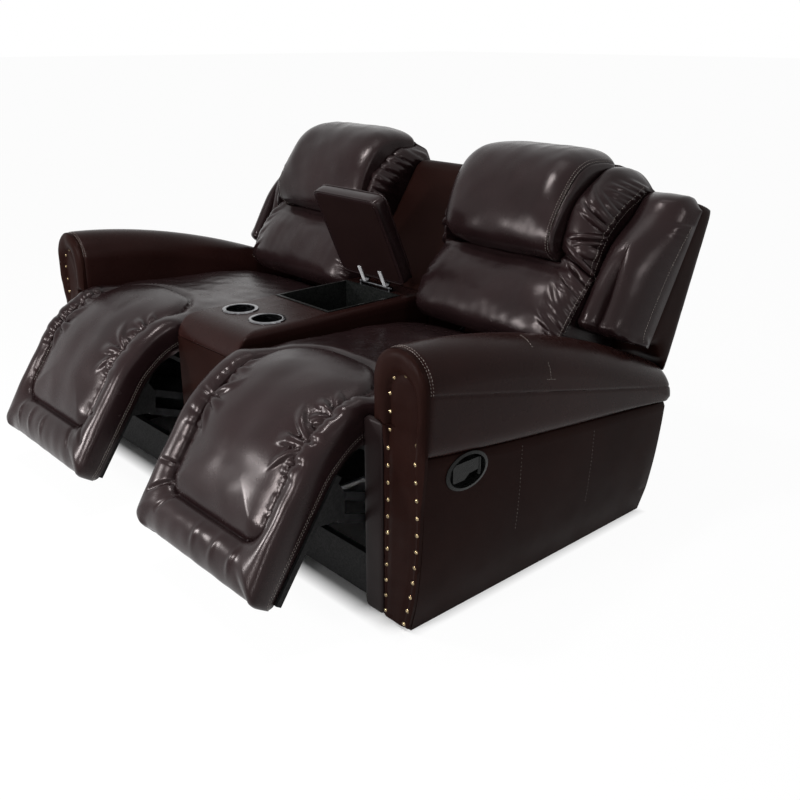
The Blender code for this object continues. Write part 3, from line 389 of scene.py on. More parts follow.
# making pieces
def place_mesh(name, verts, faces, skins, sharp, picks=None):
    """A piece with outward faces, smooth apart from edges sharper than this many degrees."""
    mesh = bpy.data.meshes.new(name)
    mesh.from_pydata([tuple(v) for v in np.asarray(verts, float)], [], faces)
    for skin in skins:
        mesh.materials.append(skin)
    if picks is not None:
        mesh.polygons.foreach_set("material_index", np.asarray(picks, np.int32))
    shape = bmesh.new()
    shape.from_mesh(mesh)
    bmesh.ops.recalc_face_normals(shape, faces=shape.faces)
    if shape.calc_volume(signed=True) < 0:
        bmesh.ops.reverse_faces(shape, faces=shape.faces)
    shape.to_mesh(mesh)
    shape.free()
    mesh.shade_smooth()
    mesh.set_sharp_from_angle(angle=math.radians(sharp))
    return add_object(name, mesh)


def quads(rows, cols, round_cols=False, round_rows=False):
    """Faces between the points of a grid, which may close on itself either way."""
    index = np.arange(rows * cols).reshape(rows, cols)
    if round_cols:
        index = np.hstack([index, index[:, :1]])
    if round_rows:
        index = np.vstack([index, index[:1]])
    corners = [index[:-1, :-1], index[:-1, 1:], index[1:, 1:], index[1:, :-1]]
    return np.stack(corners, -1).reshape(-1, 4).tolist()


def pad(name, top, low_left, low_right, skin=hide, shaded_rows=0):
    """A closed pad: its top sheet, and one low edge under each side of it.

    The sides of its first rows can take the darker leather, as painted shade.
    """
    rows, cols = top.shape[:2]
    faces = quads(rows, cols)
    picks = [0] * len(faces)
    left, right, last = rows * cols, rows * cols + rows, cols - 1
    for r in range(rows - 1):
        faces += [
            (r * cols, (r + 1) * cols, left + r + 1, left + r),
            (r * cols + last, right + r, right + r + 1, (r + 1) * cols + last),
            (left + r, left + r + 1, right + r + 1, right + r),
        ]
        picks += [int(r < shaded_rows)] * 3
    for r, flip in ((0, 1), (rows - 1, -1)):
        ring = [r * cols + c for c in range(cols)] + [right + r, left + r]
        faces.append(ring[::flip])
        picks.append(int(r < shaded_rows))
    skins = [skin, shade_hide] if shaded_rows else [skin]
    return place_mesh(name, np.vstack([top.reshape(-1, 3), low_left, low_right]), faces, skins, 55, picks)


def tube(name, rings, skin, sharp=50):
    """A closed skin over rings of points."""
    rings = np.asarray(rings, float)
    rows, cols = rings.shape[:2]
    faces = quads(rows, cols, round_cols=True)
    faces += [list(range(cols))[::-1], [(rows - 1) * cols + c for c in range(cols)]]
    return place_mesh(name, rings.reshape(-1, 3), faces, [skin], sharp)


class Seams:
    """Stitches that ride together as one piece."""

    def __init__(self):
        self.verts, self.faces = [], []

    def add(self, points, ways, spacing=0.0078, length=0.0056, width=0.0013, height=0.0007):
        """Stitches along a line: a small long bead for each, which lies on the surface."""
        sink = 0.0002
        run = length_along(points)
        count = max(int(run[-1] / spacing), 1)
        for step in range(count):
            mid = (step + 0.5) * run[-1] / count
            start, middle, end = read_line(points, run, [mid - length / 2, mid, mid + length / 2])
            up = read_line(ways, run, mid)
            up /= np.linalg.norm(up)
            across = np.cross(end - start, up)
            across *= width / 2 / max(np.linalg.norm(across), 1e-9)
            first = len(self.verts)
            self.verts += [start - up * sink, end - up * sink]
            self.verts += [middle + across, middle + up * height, middle - across, middle - up * sink * 2]
            for a, b in ((2, 3), (3, 4), (4, 5), (5, 2)):
                self.faces += [(first, first + a, first + b), (first + 1, first + b, first + a)]

    def along(self, grid, rows, cols):
        """Along a line given by its places in a grid."""
        ways = at(normals(grid), rows, cols)
        self.add(at(grid, rows, cols) + ways * 0.0003, ways)

    def piece(self, name):
        return place_mesh(name, self.verts, self.faces, [thread], 30)


def mirror(piece, name):
    """The same piece on the other side."""
    other = add_object(name, piece.data.copy())
    other.data.name = name
    other.data.transform(Matrix.Diagonal((-1, 1, 1, 1)))
    other.data.flip_normals()
    return other


def both(piece, name):
    """(side, piece) for the two sides, from the right one."""
    piece.name = name + "_right"
    piece.data.name = piece.name
    return [("right", piece), ("left", mirror(piece, name + "_left"))]


def place_both(piece, carrier, node=""):
    """Place a piece on both sides, in place of a node of each side where one is named.

    A carrier's name that ends in _ takes the side's name too.
    """
    for label, made in both(piece, piece.name):
        if node:
            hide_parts(node + label)
        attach(made, carrier + label if carrier.endswith("_") else carrier)


# the chaise: seat and footrest in one
slope = math.radians(55.6)
fold_place, fold_out = np.array([-0.05, 0.47]), 0.0374
pad_length, pad_out = 0.436, 0.046
pad_mid, pad_half = 0.452, 0.203
skin_depth, seat_under = 0.0297, 0.4168


def on_slope(down):
    """A place (depth, height) of the footrest's upper edge, this far down from the fold."""
    down_way = np.array([-math.cos(slope), -math.sin(slope)])
    out_way = np.array([-math.sin(slope), math.cos(slope)])
    return fold_place + down_way * down + out_way * (pad_out - fold_out)


edge_line = dense([
    *(on_slope(down) for down in (pad_length, 0.3, 0.17, 0.11)),
    (-0.083, 0.42), (-0.034, 0.457), (0.025, 0.482), (0.1, 0.497),
    (0.22, 0.502), (0.45, 0.5), (0.6, 0.482), (0.678, 0.462),
])
edge_run = length_along(edge_line)


def s_at(depth):
    """The place along the chaise's edge at this depth."""
    return float(np.interp(depth, edge_line[:, 0], edge_run))


groove_low, groove_high = 0.126, s_at(0.175)


def outline_distance(x, s):
    """How far a place is inside the raised middle's rounded outline."""
    middle, half = (groove_low + groove_high) / 2, (groove_high - groove_low) / 2
    radius = np.where(s < middle, 0.055, 0.15)
    qx = np.abs(x - pad_mid) - (pad_half - radius)
    qs = np.abs(s - middle) - (half - radius)
    outside = np.hypot(np.maximum(qx, 0), np.maximum(qs, 0))
    return -(outside + np.minimum(np.maximum(qx, qs), 0) - radius)


class Sheet:
    """A grid of points, with the places that its folds and seams go by."""

    def __init__(self, **parts):
        self.__dict__.update(parts)


def chaise_height(a, depth, ss, side, d):
    """How far the chaise's skin stands off its edge line."""
    edge = np.minimum(side, ss)
    border = np.clip(edge / np.maximum(edge + np.maximum(-d, 0), 1e-6), 0, 1)
    groove, swell, crown, dome_width = 0.033, 0.047, 0.073, 0.145
    end_rim = groove * border + swell * half_round(border)
    crest, shoulder, top = 0.42, 0.036, 0.068
    falling, rising = rounded(border / crest), rounded((1 - border) / (1 - crest))
    side_rim = np.where(border < crest, mix(shoulder, top, falling), mix(groove, top, rising))
    rim = mix(end_rim, side_rim, smooth((ss - side) / 0.05 + 0.5))
    height = np.where(d > 0, groove + (crown - groove) * rounded(d / dome_width), rim)
    settled = smooth((depth - 0.12) / 0.25)
    seat_edge, seat_dome = mix(0.032, 0.02, settled), mix(0.024, 0.014, settled)
    seam_depth, seam_width = 0.01, 0.016
    seat = rounded(side / 0.06) * (seat_edge + seat_dome * (1 - a**2))
    seat -= seam_depth * bell(d / seam_width)
    behind = smooth((depth - 0.01) / 0.1)
    height = mix(height, np.where(d > 0, mix(height, seat + seam_depth, 0.6), seat), behind)
    tallest, end_drop, end_width = 0.076, 0.014, 0.012
    height = np.minimum(height, tallest)
    return height - end_drop * (1 - smooth(ss / end_width)) * (1 - border), behind


def chaise_sheet():
    """The chaise's skin before its folds."""
    step = 0.0032
    s = uneven([(0, 0.0022), (0.02, step), (edge_run[-1], step * 1.5)])
    a = uneven([
        (-1, 0.003), (-0.985, 0.003), (-0.96, 0.009), (-0.76, 0.01), (-0.68, 0.012), (-0.3, 0.022),
        (0.3, 0.018), (0.6, 0.01), (0.76, 0.008), (0.96, 0.008), (0.985, 0.003), (1, 0.003),
    ])[None]
    line = read_line(edge_line, edge_run, s)
    tangent = tangents(line)
    normal = np.stack([-tangent[:, 1], tangent[:, 0]], 1)
    depth = line[:, :1]
    wide = smooth((line[:, 0] - 0.015) / 0.06)
    inner_corner, outer_corner = 0.048, 0.024
    pad_inner, pad_outer, seat_inner, seat_outer = 0.1675, 0.7165, 0.1662, 0.7405
    inner = mix(pad_inner, seat_inner, wide) + inner_corner * fall(1 - s / inner_corner)
    outer = mix(pad_outer, seat_outer, wide) - outer_corner * fall(1 - s / outer_corner)
    lip, wall_floor, tuck = 0.985, -0.024, 0.007
    wall = np.clip((np.abs(a) - lip) / (1 - lip), 0, 1)
    x = (inner + outer)[:, None] / 2 + (outer - inner)[:, None] / 2 * (np.clip(a, -lip, lip) / lip)
    ss = np.broadcast_to(s[:, None], x.shape)
    d = outline_distance(x, ss)
    side = np.minimum(x - inner[:, None], outer[:, None] - x)
    height, behind = chaise_height(a, depth, ss, side, d)
    height = np.maximum(height - wall * mix(0.06, 0.024, behind), wall_floor)
    x = x - np.sign(a) * tuck * wall**2
    base = xyz(x, depth + normal[:, :1] * height + front_y, line[:, 1:] + normal[:, 1:] * height)
    return Sheet(
        s=s, a=a[0], x=x, ss=ss, d=d, side=side, base=base,
        line=line, normal=normal, inner=inner, outer=outer,
    )


def crease(x, s, start, end, width, depth):
    """A pressed line between two places of the sheet."""
    ax, bx = end[0] - start[0], end[1] - start[1]
    run = np.clip(((x - start[0]) * ax + (s - start[1]) * bx) / (ax * ax + bx * bx), 0, 1)
    off = np.hypot(x - start[0] - run * ax, s - start[1] - run * bx)
    return -depth * bell(off / width) * np.sin(np.pi * np.clip(run * 0.8 + 0.2, 0, 1)) ** 0.5


def from_place(start, folds):
    """Folds whose places are given from a start along the seam."""
    return [(start + place, *rest) for place, *rest in folds]


def corner_folds():
    """The gathers at the knee: the folds in the raised middle and those in the border roll."""
    knee, top = s_at(-0.088), s_at(-0.022)
    stars = from_place(knee, [
        (-0.004, -1.0, 0.062, 0.021, 0.012), (0, -0.15, 0.08, 0.022, 0.014),
        (0.008, 0.65, 0.085, 0.023, 0.014),
        (-0.02, -0.35, 0.045, 0.017, 0.009), (0.028, 0.3, 0.05, 0.018, 0.009),
        (-0.042, 0.1, 0.034, 0.017, 0.008), (-0.062, 0.2, 0.028, 0.015, 0.006),
    ])
    stars += from_place(top, [
        (-0.004, -0.6, 0.045, 0.016, 0.01), (0.002, 0.15, 0.06, 0.016, 0.011),
        (0.012, 0.9, 0.045, 0.016, 0.009),
        (0.032, 0.3, 0.04, 0.018, 0.007), (-0.022, -0.2, 0.036, 0.014, 0.008),
    ])
    roll = from_place(knee, [
        (-0.055, -0.1, 0.045, 0.022, 0.007), (-0.03, 0.25, 0.055, 0.023, 0.01),
        (-0.004, -0.1, 0.052, 0.022, 0.0105), (0.02, 0.3, 0.056, 0.022, 0.0095),
        (0.042, 0, 0.048, 0.02, 0.0085),
    ])
    roll += from_place(top, [
        (0.004, 0.35, 0.052, 0.02, 0.009), (0.026, 0.1, 0.045, 0.02, 0.007),
        (-0.018, -0.2, 0.045, 0.018, 0.007), (0.05, 0.2, 0.05, 0.024, 0.006),
    ])
    tight = row_of_pleats(3, 0.165, knee - 0.055, 0.0095, 0.25, 0.02, 0.012, 0.0045)
    small = row_of_pleats(4, 0.17, knee - 0.06, 0.014, 0.1, 0.014, 0.013, 0.0024)
    inner = row_of_pleats(6, 0.2, s_at(-0.03), 0.05, 0.2, 0.022, 0.016, 0.002)
    return stars, roll, tight, small, inner


def chaise_folds(sheet):
    """The height of the chaise's folds, creases and slow unevenness."""
    x, s = sheet.x, sheet.ss
    near_sides = smooth((np.abs(x - pad_mid) - 0.1) / 0.03)
    inner_side = smooth((0.35 - x) / 0.03)
    inside, outside = np.maximum(sheet.d, 0), np.maximum(-sheet.d, 0)
    gentle = mix(1.0, 0.45, inner_side)
    stars, roll, tight, small, inner = corner_folds()
    folds = pleats(s, inside, stars, 0.005) * near_sides * 1.25 * mix(1.0, 0.8, inner_side)
    folds += pleats(s, inside, tight, 0.003) * near_sides * gentle
    folds += pleats(s, outside, roll, 0.006) * near_sides * gentle
    folds += pleats(s, outside, small, 0.003) * near_sides * (1 - inner_side)
    folds += pleats(s, outside, inner, 0.004) * inner_side
    for place, slant, height in ((0.452, 0.1, 0.005), (0.536, 0.15, 0.0045), (0.612, 0.12, 0.005)):
        folds += height * ridge_at(x, s, (place, 0.072), slant, 0.0085, 0.028)
    for start, end, width, depth in (
        ((0.262, 0.192), (0.195, 0.186), 0.006, 0.0085),
        ((0.27, 0.158), (0.2, 0.095), 0.006, 0.0095),
        ((0.3, 0.124), (0.262, 0.062), 0.0055, 0.005),
    ):
        folds += crease(x, s, start, end, width, depth) * (sheet.d <= 0)
    folds += uneasy(8, x, s, 0.13, 1.3) * 0.0008 * smooth(inside / 0.03)
    folds += uneasy(9, x, s, 0.05, 1.2) * 0.00018 * smooth(inside / 0.02)
    return folds + uneasy(10, x, s, 0.07) * 0.0004 * smooth(outside / 0.02) * smooth(sheet.side / 0.015)


def chaise_skin(sheet):
    """The settled skin, and the low edge of its underside."""
    depth = sheet.line[:, 0]
    seam = bell(sheet.d / 0.0035) * (1 - 0.6 * smooth((depth - 0.02) / 0.1))[:, None]
    pins = np.maximum(held_edges(sheet.base, 2), np.clip(seam * 1.2, 0, 1))
    skin = relax(sheet.base, chaise_folds(sheet), pins, puff=0.0015, cap=0.014)
    on_deck = smooth((depth - 0.03) / 0.05)
    under = sheet.line - sheet.normal * skin_depth
    under_y = mix(under[:, 0], np.maximum(depth, 0.0135), on_deck) + front_y
    under_z = mix(under[:, 1], seat_under, on_deck)
    return skin, under_y, under_z


def chaise_threads(sheet, skin):
    """Stitches along the skin's outer edges and both sides of its right-hand groove."""
    stitches = Seams()
    rows = np.arange(1, index_of(sheet.line[:, 0], 0.03), 0.5)
    for col in (1.0, 1.6):
        stitches.along(skin, rows, len(sheet.a) - 1 - col)
        stitches.along(skin, rows, col)
    rows = index_of(sheet.s, np.linspace(groove_low + 0.05, s_at(0.03), 120))
    for shift in (-0.0035, 0.0035):
        col = index_of(sheet.x[len(sheet.s) // 3], pad_mid + pad_half + shift)
        stitches.along(skin, rows, col)
    return stitches.piece("chaise_stitch")


def chaises():
    sheet = chaise_sheet()
    skin, under_y, under_z = chaise_skin(sheet)
    tuck = 0.009
    tucked = tuck * (1 - smooth((sheet.line[:, 0] + 0.06) / 0.06))
    low_left = xyz(sheet.inner + tucked, under_y, under_z)
    low_right = xyz(sheet.outer - tucked, under_y, under_z)
    # The footrest's underside takes the darker leather: painted shade.
    shaded_rows = int(np.searchsorted(sheet.line[:, 0], -0.02))
    body = pad("chaise", skin, low_left, low_right, shaded_rows=shaded_rows)
    threads = chaise_threads(sheet, skin)
    for piece in (body, threads):
        for label, made in both(piece, piece.name):
            if piece is body:
                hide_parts("seat_cushion_" + label, "footrest_pad_" + label)
            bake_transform(made)


# backs
lean = math.radians(19.6)
foot_y, foot_z = 0.986, 0.392
wing_seam = 0.742


def on_back(x, forward, up):
    """Points forward of a back's rear face, and up along it."""
    y = foot_y + up * math.sin(lean) - forward * math.cos(lean) + front_y
    return xyz(x, y, foot_z + up * math.cos(lean) + forward * math.sin(lean))


def stitch_up(name, grid, rows, cols):
    """Rows of stitches up both backs, along columns of a grid."""
    stitches = Seams()
    for col in cols:
        stitches.along(grid, rows, col)
    place_both(stitches.piece(name), "back_")


# the lumbar cushion and the column beside it
cushion_inner, cushion_outer = 0.165, wing_seam - 0.0003
cushion_foot, cushion_top = 0.012, 0.575
cushion_rear, cushion_depth = 0.1003, 0.285
bed_low, bed_high, bed_foot = 0.201, 0.649, 0.262
belly = [
    (0, 0.8), (0.037, 0.94), (0.085, 1.0), (0.19, 1.0), (0.3, 0.93), (0.37, 0.85), (0.444, 0.76),
    (0.536, 0.8), (0.707, 0.8), (0.8, 0.7), (0.9, 0.54), (0.955, 0.41), (0.985, 0.24), (1, 0.05),
]
back_seam = [
    (0, 0.68), (0.04, 0.76), (0.11, 0.765), (0.427, 0.56), (0.655, 0.46), (0.83, 0.245), (0.92, 0.08),
    (1, 0.03),
]
column = [
    (0.517, 0.3, 0.036, 0.013, 0.007), (0.504, 0.2, 0.046, 0.014, 0.0085),
    (0.489, 0.2, 0.056, 0.015, 0.0095),
    (0.474, 0.15, 0.056, 0.015, 0.009), (0.459, 0.3, 0.05, 0.015, 0.008), (0.442, 0.45, 0.05, 0.017, 0.009),
    (0.418, 0.85, 0.065, 0.024, 0.012), (0.391, 1.00, 0.085, 0.028, 0.0145),
    (0.369, 0.7, 0.08, 0.021, 0.013),
    (0.352, -0.25, 0.088, 0.017, 0.013), (0.336, -0.35, 0.082, 0.015, 0.011),
    (0.302, 0.1, 0.065, 0.034, 0.011), (0.247, 0.85, 0.1, 0.021, 0.013), (0.229, 0.75, 0.06, 0.017, 0.009),
]


def cushion_up(x, share):
    """Up the back at this share of the cushion's height, whose top corners are lower."""
    high = cushion_top - 0.05 * np.clip((x - 0.655) / 0.087, 0, 1) ** 2
    high = high - 0.055 * np.clip((0.235 - x) / 0.07, 0, 1) ** 2
    return cushion_foot + (high - cushion_foot) * share


def cushion_sheet():
    """The cushion's skin before its folds, and the crease in its outer side."""
    step = 0.0045
    t = uneven([(0, 0.002), (0.03, step), (0.97, step), (1, 0.003)])
    x = uneven([
        (cushion_inner, 0.003), (0.19, 0.004), (0.22, 0.005), (0.3, 0.009), (0.45, 0.01), (0.6, 0.006),
        (0.645, 0.0035), (cushion_outer, 0.003),
    ])
    xx, tt = np.meshgrid(x, t)
    lumbar_zone = smooth((0.47 - tt) / 0.06)
    reach_out = mix(cushion_outer - bed_high, 0.16, lumbar_zone)
    reach_in = mix(bed_low - cushion_inner, 0.1, lumbar_zone)
    to_out = np.clip(1 - (cushion_outer - xx) / reach_out, 0, 1)
    to_in = np.clip(1 - (xx - cushion_inner) / reach_in, 0, 1)
    round_share = np.sqrt(np.clip(1 - np.maximum(to_out, to_in) ** 2.2, 0, 1))
    depth = mix(table(back_seam, t)[:, None], table(belly, t)[:, None], round_share)
    bed = smooth((tt - bed_foot / (cushion_top - cushion_foot) + 0.03) / 0.035)
    bed = bed * (smooth((xx - bed_low + 0.003) / 0.012) * smooth((bed_high + 0.003 - xx) / 0.012))
    depth = mix(depth, 0.2, bed)
    crease_t = 0.5 - 0.063 * np.clip((xx - 0.62) / 0.12, 0, 1)
    pressed = bell((tt - crease_t) / 0.014) * smooth((xx - 0.62) / 0.02)
    grid = on_back(xx, cushion_rear + cushion_depth * (depth - 0.05 * pressed), cushion_up(xx, tt))
    return t, x, grid, xx, tt, pressed


def cushions():
    t, x, base, xx, tt, pressed = cushion_sheet()
    covered = smooth((tt - 0.49) / 0.03) * smooth((xx - 0.215) / 0.01) * smooth((0.635 - xx) / 0.01)
    pins = np.maximum(np.maximum(held_edges(base, 2), covered), pressed * 0.8)
    up = cushion_up(xx, tt)
    lumbar = row_of_pleats(12, 0.04, 0.215, 0.016, 0.85, 0.078, 0.0215, 0.011)
    inner = row_of_pleats(14, 0.3, 0.53, 0.0165, 0.4, 0.046, 0.018, 0.01)
    inner += row_of_pleats(15, 0.06, 0.27, 0.02, 0.4, 0.06, 0.018, 0.0045)
    folds = pleats(up, cushion_outer - xx, lumbar + column, 0.006)
    folds += pleats(up, xx - cushion_inner, inner, 0.006)
    folds += uneasy(16, xx, up, 0.11) * 0.0008 + uneasy(17, xx, up, 0.045) * 0.0002
    cushion = relax(base, folds, pins, puff=0.001, cap=0.018, steps=10)
    rear = [on_back(edge, cushion_rear, cushion_up(edge, t)) for edge in (cushion_inner, cushion_outer)]
    place_both(pad("back_pad", cushion, *rear), "back_", "back_cushion_")
    rows = index_of(t, np.linspace(0.05, 0.97, 260))
    stitch_up("back_stitch", cushion, rows, [len(x) - 1 - col for col in (1.2, 3.2)])


# the head pillow
pillow_inner, pillow_outer = 0.205, 0.645
pillow_foot, pillow_rise = 0.268, 0.6
pillow_rear = 0.1006 + cushion_depth * 0.19
pillow_seam = 0.95
pillow_half = (pillow_outer - pillow_inner) / 2
pillow_face = [
    (0.24, 0.272), (0.29, 0.266), (0.336, 0.27), (0.368, 0.29), (0.384, 0.335), (0.386, 0.405),
    (0.374, 0.47),
    (0.347, 0.525), (0.308, 0.562), (0.262, 0.583), (0.215, 0.596), (0.18, 0.6), (0.16, 0.596),
]


def pillow_sheet():
    """The pillow's skin before its folds."""
    step = 0.0055
    line = dense(pillow_face)
    line = resample(line, int(length_along(line)[-1] / step))
    tangent = tangents(line)
    way = np.stack([tangent[:, 1], -tangent[:, 0]], 1)
    a = uneven([
        (-1, 0.008), (-0.9, 0.02), (-0.5, 0.035), (0.5, 0.035), (0.84, 0.014), (0.91, 0.007), (1, 0.005),
    ])
    run = length_along(line) / length_along(line)[-1]
    drop = 0.022 * fall((a - 0.965) / 0.035) + 0.032 * fall((-a - 0.72) / 0.28)
    drop += 0.01 * smooth((-a - 0.45) / 0.55) + 0.0055 * bell((a - pillow_seam) / 0.01)
    drop = drop[None] * (0.4 + 0.6 * smooth(run / 0.06))[:, None] - 0.005 * (1 - a[None] ** 2)
    turned = np.clip((a[None] - 0.6) / 0.4, 0, 1)
    drop = drop + 0.06 * (1 - np.sqrt(1 - 0.94 * turned**2)) * smooth((run[:, None] - 0.22) / 0.34)
    face = line[:, None, :] - way[:, None, :] * drop[..., None]
    x = (pillow_inner + pillow_outer) / 2 + pillow_half * a[None]
    return run, a, on_back(x, face[..., 0], face[..., 1])


def pillows():
    t, a, base = pillow_sheet()
    aa, tt = np.meshgrid(a, t)
    pins = np.maximum(held_edges(base, 1), 0.8 * bell((aa - pillow_seam) / 0.01))
    gathers = row_of_pleats(21, 0.06, 0.36, 0.022, 0.3, 0.012, 0.016, 0.0012)
    folds = pleats(tt * 0.6, np.abs(aa - pillow_seam) * pillow_half, gathers, 0.003)
    folds += uneasy(22, aa * 0.22, tt * 0.6, 0.1) * 0.0006 + uneasy(23, aa * 0.22, tt * 0.6, 0.045) * 0.00015
    for place, slant, height in (
        (0.3, 0.8, 0.0035), (0.02, 0.9, 0.0028), (0.55, 0.6, 0.003), (-0.35, 0.7, 0.002)
    ):
        folds += height * ridge_at(aa, tt, (place, 0.82), slant, 0.035, 0.085)
    for place, slant, height in ((-0.906, 0.3, 0.004), (-0.816, -0.2, 0.003)):
        folds += height * ridge_at(aa, tt, (place, 0.08), slant, 0.03, 0.06)
    pillow = relax(base, folds, pins, puff=0.002, cap=0.01)
    rear_up = mix(pillow_foot, pillow_rise * 0.93, t)
    rear = [on_back(edge, pillow_rear, rear_up) for edge in (pillow_inner, pillow_outer)]
    place_both(pad("head_pillow", pillow, *rear), "back_", "headrest_")
    rows = index_of(t, np.linspace(0.03, 0.95, 240))
    stitch_up("pillow_stitch", pillow, rows, index_of(a, (0.916, 0.938)))


# the wing
wing_foot, wing_top = 0.092, 0.524
wing_near, wing_far = wing_seam + 0.0003, 0.9
groove_share = 0.43
wing_seam_line = [(0.092, 0.297), (0.2, 0.268), (0.3, 0.236), (0.36, 0.212), (0.44, 0.162), (0.524, 0.128)]
wing_edge_line = [(0.092, 0.184), (0.2, 0.17), (0.3, 0.146), (0.4, 0.118), (0.45, 0.108), (0.524, 0.106)]
wing_groove_line = [(0.092, 0.252), (0.2, 0.232), (0.3, 0.208), (0.4, 0.176), (0.524, 0.13)]


def shell_face(up):
    """How far forward of a back's rear face the wing's shell reaches."""
    return mix(0.172, 0.088, np.clip((up - 0.03) / 0.485, 0, 1)) + 0.0006


def wing_sheet():
    """The wing's skin before its folds: two lobes, which join into one near the top."""
    step = 0.0055
    up = uneven([(wing_foot, 0.0015), (wing_foot + 0.03, step), (wing_top - 0.03, step), (wing_top, 0.0015)])
    c = uneven([
        (0, 0.01), (0.1, 0.03), (0.36, 0.022), (0.43, 0.012), (0.5, 0.03), (0.8, 0.025), (0.9, 0.014),
        (1, 0.005)
    ])
    cc, uu = np.meshgrid(c, up)
    near, far, groove = (
        table(points, up)[:, None] for points in (wing_seam_line, wing_edge_line, wing_groove_line)
    )
    inner = np.clip(cc / groove_share, 0, 1)
    outer = np.clip((cc - groove_share) / (1 - groove_share), 0, 1)
    lobe_in = mix(near, groove, inner) + mix(np.sin(np.pi * inner), half_round(inner), 0.5) * 0.03
    lobe_out = mix(groove, far, outer) + half_round(outer**0.85) * 0.078
    swelling = mix(0.09, 0.05, smooth((uu - 0.26) / 0.26))
    whole = mix(near, far, cc) + half_round(cc**1.15) * swelling
    face = mix(np.where(cc < groove_share, lobe_in, lobe_out), whole, smooth((uu - 0.17) / 0.2))
    ends = rounded((uu - wing_foot) / 0.03) * rounded((wing_top - uu) / 0.042)
    side_end = mix(0.35, 1, rounded((1 - cc) / 0.13))
    face = mix(shell_face(uu) + 0.004, face, ends * mix(1, side_end, smooth(cc / 0.5)))
    uu = uu - 0.032 * smooth((cc - 0.7) / 0.3) ** 1.4 * smooth((uu - 0.42) / 0.1)
    return up, c, on_back(mix(wing_near, wing_far, cc), face, uu), cc, uu


def wings():
    t, c, base, cc, uu = wing_sheet()
    width = wing_far - wing_near
    grooved = bell((cc - groove_share) / 0.03) * 0.6 * (1 - smooth((uu - 0.22) / 0.08))
    pins = np.maximum(held_edges(base, 1), grooved)
    foot = row_of_pleats(32, 0.01, width, 0.018, 0.15, 0.05, 0.02, 0.0065)
    edge = row_of_pleats(33, 0.12, 0.39, 0.035, 0.2, 0.018, 0.02, 0.0009)
    edge += [(0.438, -0.5, 0.034, 0.014, 0.0055), (0.422, 0.1, 0.045, 0.014, 0.0055)]
    edge += [(0.404, 0.3, 0.036, 0.013, 0.004)]
    groove = row_of_pleats(34, 0.12, 0.36, 0.03, 0.3, 0.02, 0.018, 0.0007)
    folds = pleats(cc * width, uu - wing_foot, foot, 0.01)
    folds += pleats(uu, (1 - cc) * width, edge, 0.004)
    folds += pleats(uu, np.maximum(groove_share - cc, 0) * width, groove, 0.004)
    folds += uneasy(35, cc * width, uu, 0.09) * 0.0003
    wing = relax(base, folds, pins, puff=0.001, cap=0.012)
    rear_left = on_back(wing_near, shell_face(t), uu[:, 0])
    rear_right = on_back(wing_far, shell_face(uu[:, -1]), uu[:, -1])
    place_both(pad("wing_pad", wing, rear_left, rear_right), "back_", "wing_")
    rows = index_of(t, np.linspace(wing_foot + 0.012, 0.446, 200))
    stitch_up("wing_stitch", wing, rows, [index_of(c, 0.975)])


# arms
half_width, arm_inner = 0.925, 0.75
arm_depth, arm_height = 0.98, 0.709
roll_radius = 0.0875
roll_x = half_width - roll_radius
panel_back = 0.0123
pocket_depth, pocket_height, pocket_floor = 0.148, 0.396, 0.8774
pocket_half_length, pocket_half_height = 0.0627, 0.0427
roll_seam = [(0.0, 0.62), (0.267, 0.56), (0.588, 0.486), (0.98, 0.4)]
side_x = [
    (0, 0.868), (0.09, 0.889), (0.18, 0.9005), (0.27, 0.9062), (0.34, 0.908), (0.42, 0.908), (0.5, 0.908),
]


def arm_top(depth):
    return arm_height - 0.254 * (depth / arm_depth) ** 1.8


def arm_hem(depth):
    return 0.468 - 0.115 * (depth / arm_depth) ** 0.8


def roll_end(depth):
    """How far the roll is drawn in near its two ends."""
    return 0.022 * fall((depth - 0.955) / 0.025) + 0.006 * fall((0.026 - depth) / 0.0137)


def roll_outline(depth):
    """The roll's section at this depth: an arc over a tapering tail, with a seam pressed in."""
    shrink, hem = roll_end(depth), arm_hem(depth)
    radius, height = roll_radius - shrink, arm_top(depth) - roll_radius
    seam_z = float(np.clip(table(roll_seam, depth), hem + 0.02, height + radius * 0.6))
    low = mix(height, hem, 0.55)
    under = [(arm_inner + shrink, hem + 0.002), (arm_inner + shrink, mix(hem, height, 0.5))]
    tail = dense([
        (roll_x + radius, height),
        (half_width - 0.006 - shrink, low),
        (half_width - 0.01 - shrink, mix(hem, low, 0.35)),
        (half_width - 0.019 - shrink, hem + 0.003),
        (half_width - 0.028 - shrink, hem),
    ])
    crown = arc(roll_x, height, radius, np.linspace(math.pi, 0, 121))
    outline = np.vstack([under, crown, resample(tail, 44)[1:]])
    outer_gap = np.abs(outline[:, 1] - seam_z) + 10 * (outline[:, 0] < roll_x)
    outline[:, 0] -= 0.0034 * bell(outer_gap / 0.0026)
    return xyz(outline[:, 0], depth + front_y, outline[:, 1])


def arm_rolls():
    depths = uneven([(panel_back, 0.003), (0.03, 0.01), (0.2, 0.02), (0.93, 0.02), (arm_depth, 0.005)])
    piece = tube("arm_roll_pad", [roll_outline(depth) for depth in depths], lit_roll_hide)
    place_both(piece, "base", "arm_roll_")


def side_ring(share):
    """The side box's section at this share of its depth."""
    depth = mix(panel_back, arm_depth, share)
    top = arm_hem(depth) - 0.0003
    heights = np.r_[0, np.linspace(0.02, top - 0.03, 18), top - 0.015, top - 0.005, top]
    x = table(side_x, heights) - 0.012 * np.clip((heights - (top - 0.015)) / 0.015, 0, 1) ** 2
    x = x - 0.006 * np.clip((depth - 0.965) / 0.015, 0, 1) ** 2
    z = np.r_[0, heights, top]
    rear = arm_depth - 0.035 * (1 - z / arm_top(arm_depth))
    y = np.minimum(depth, rear) if share > 0.96 else depth
    return xyz(np.r_[arm_inner, x, arm_inner], y + front_y, z)


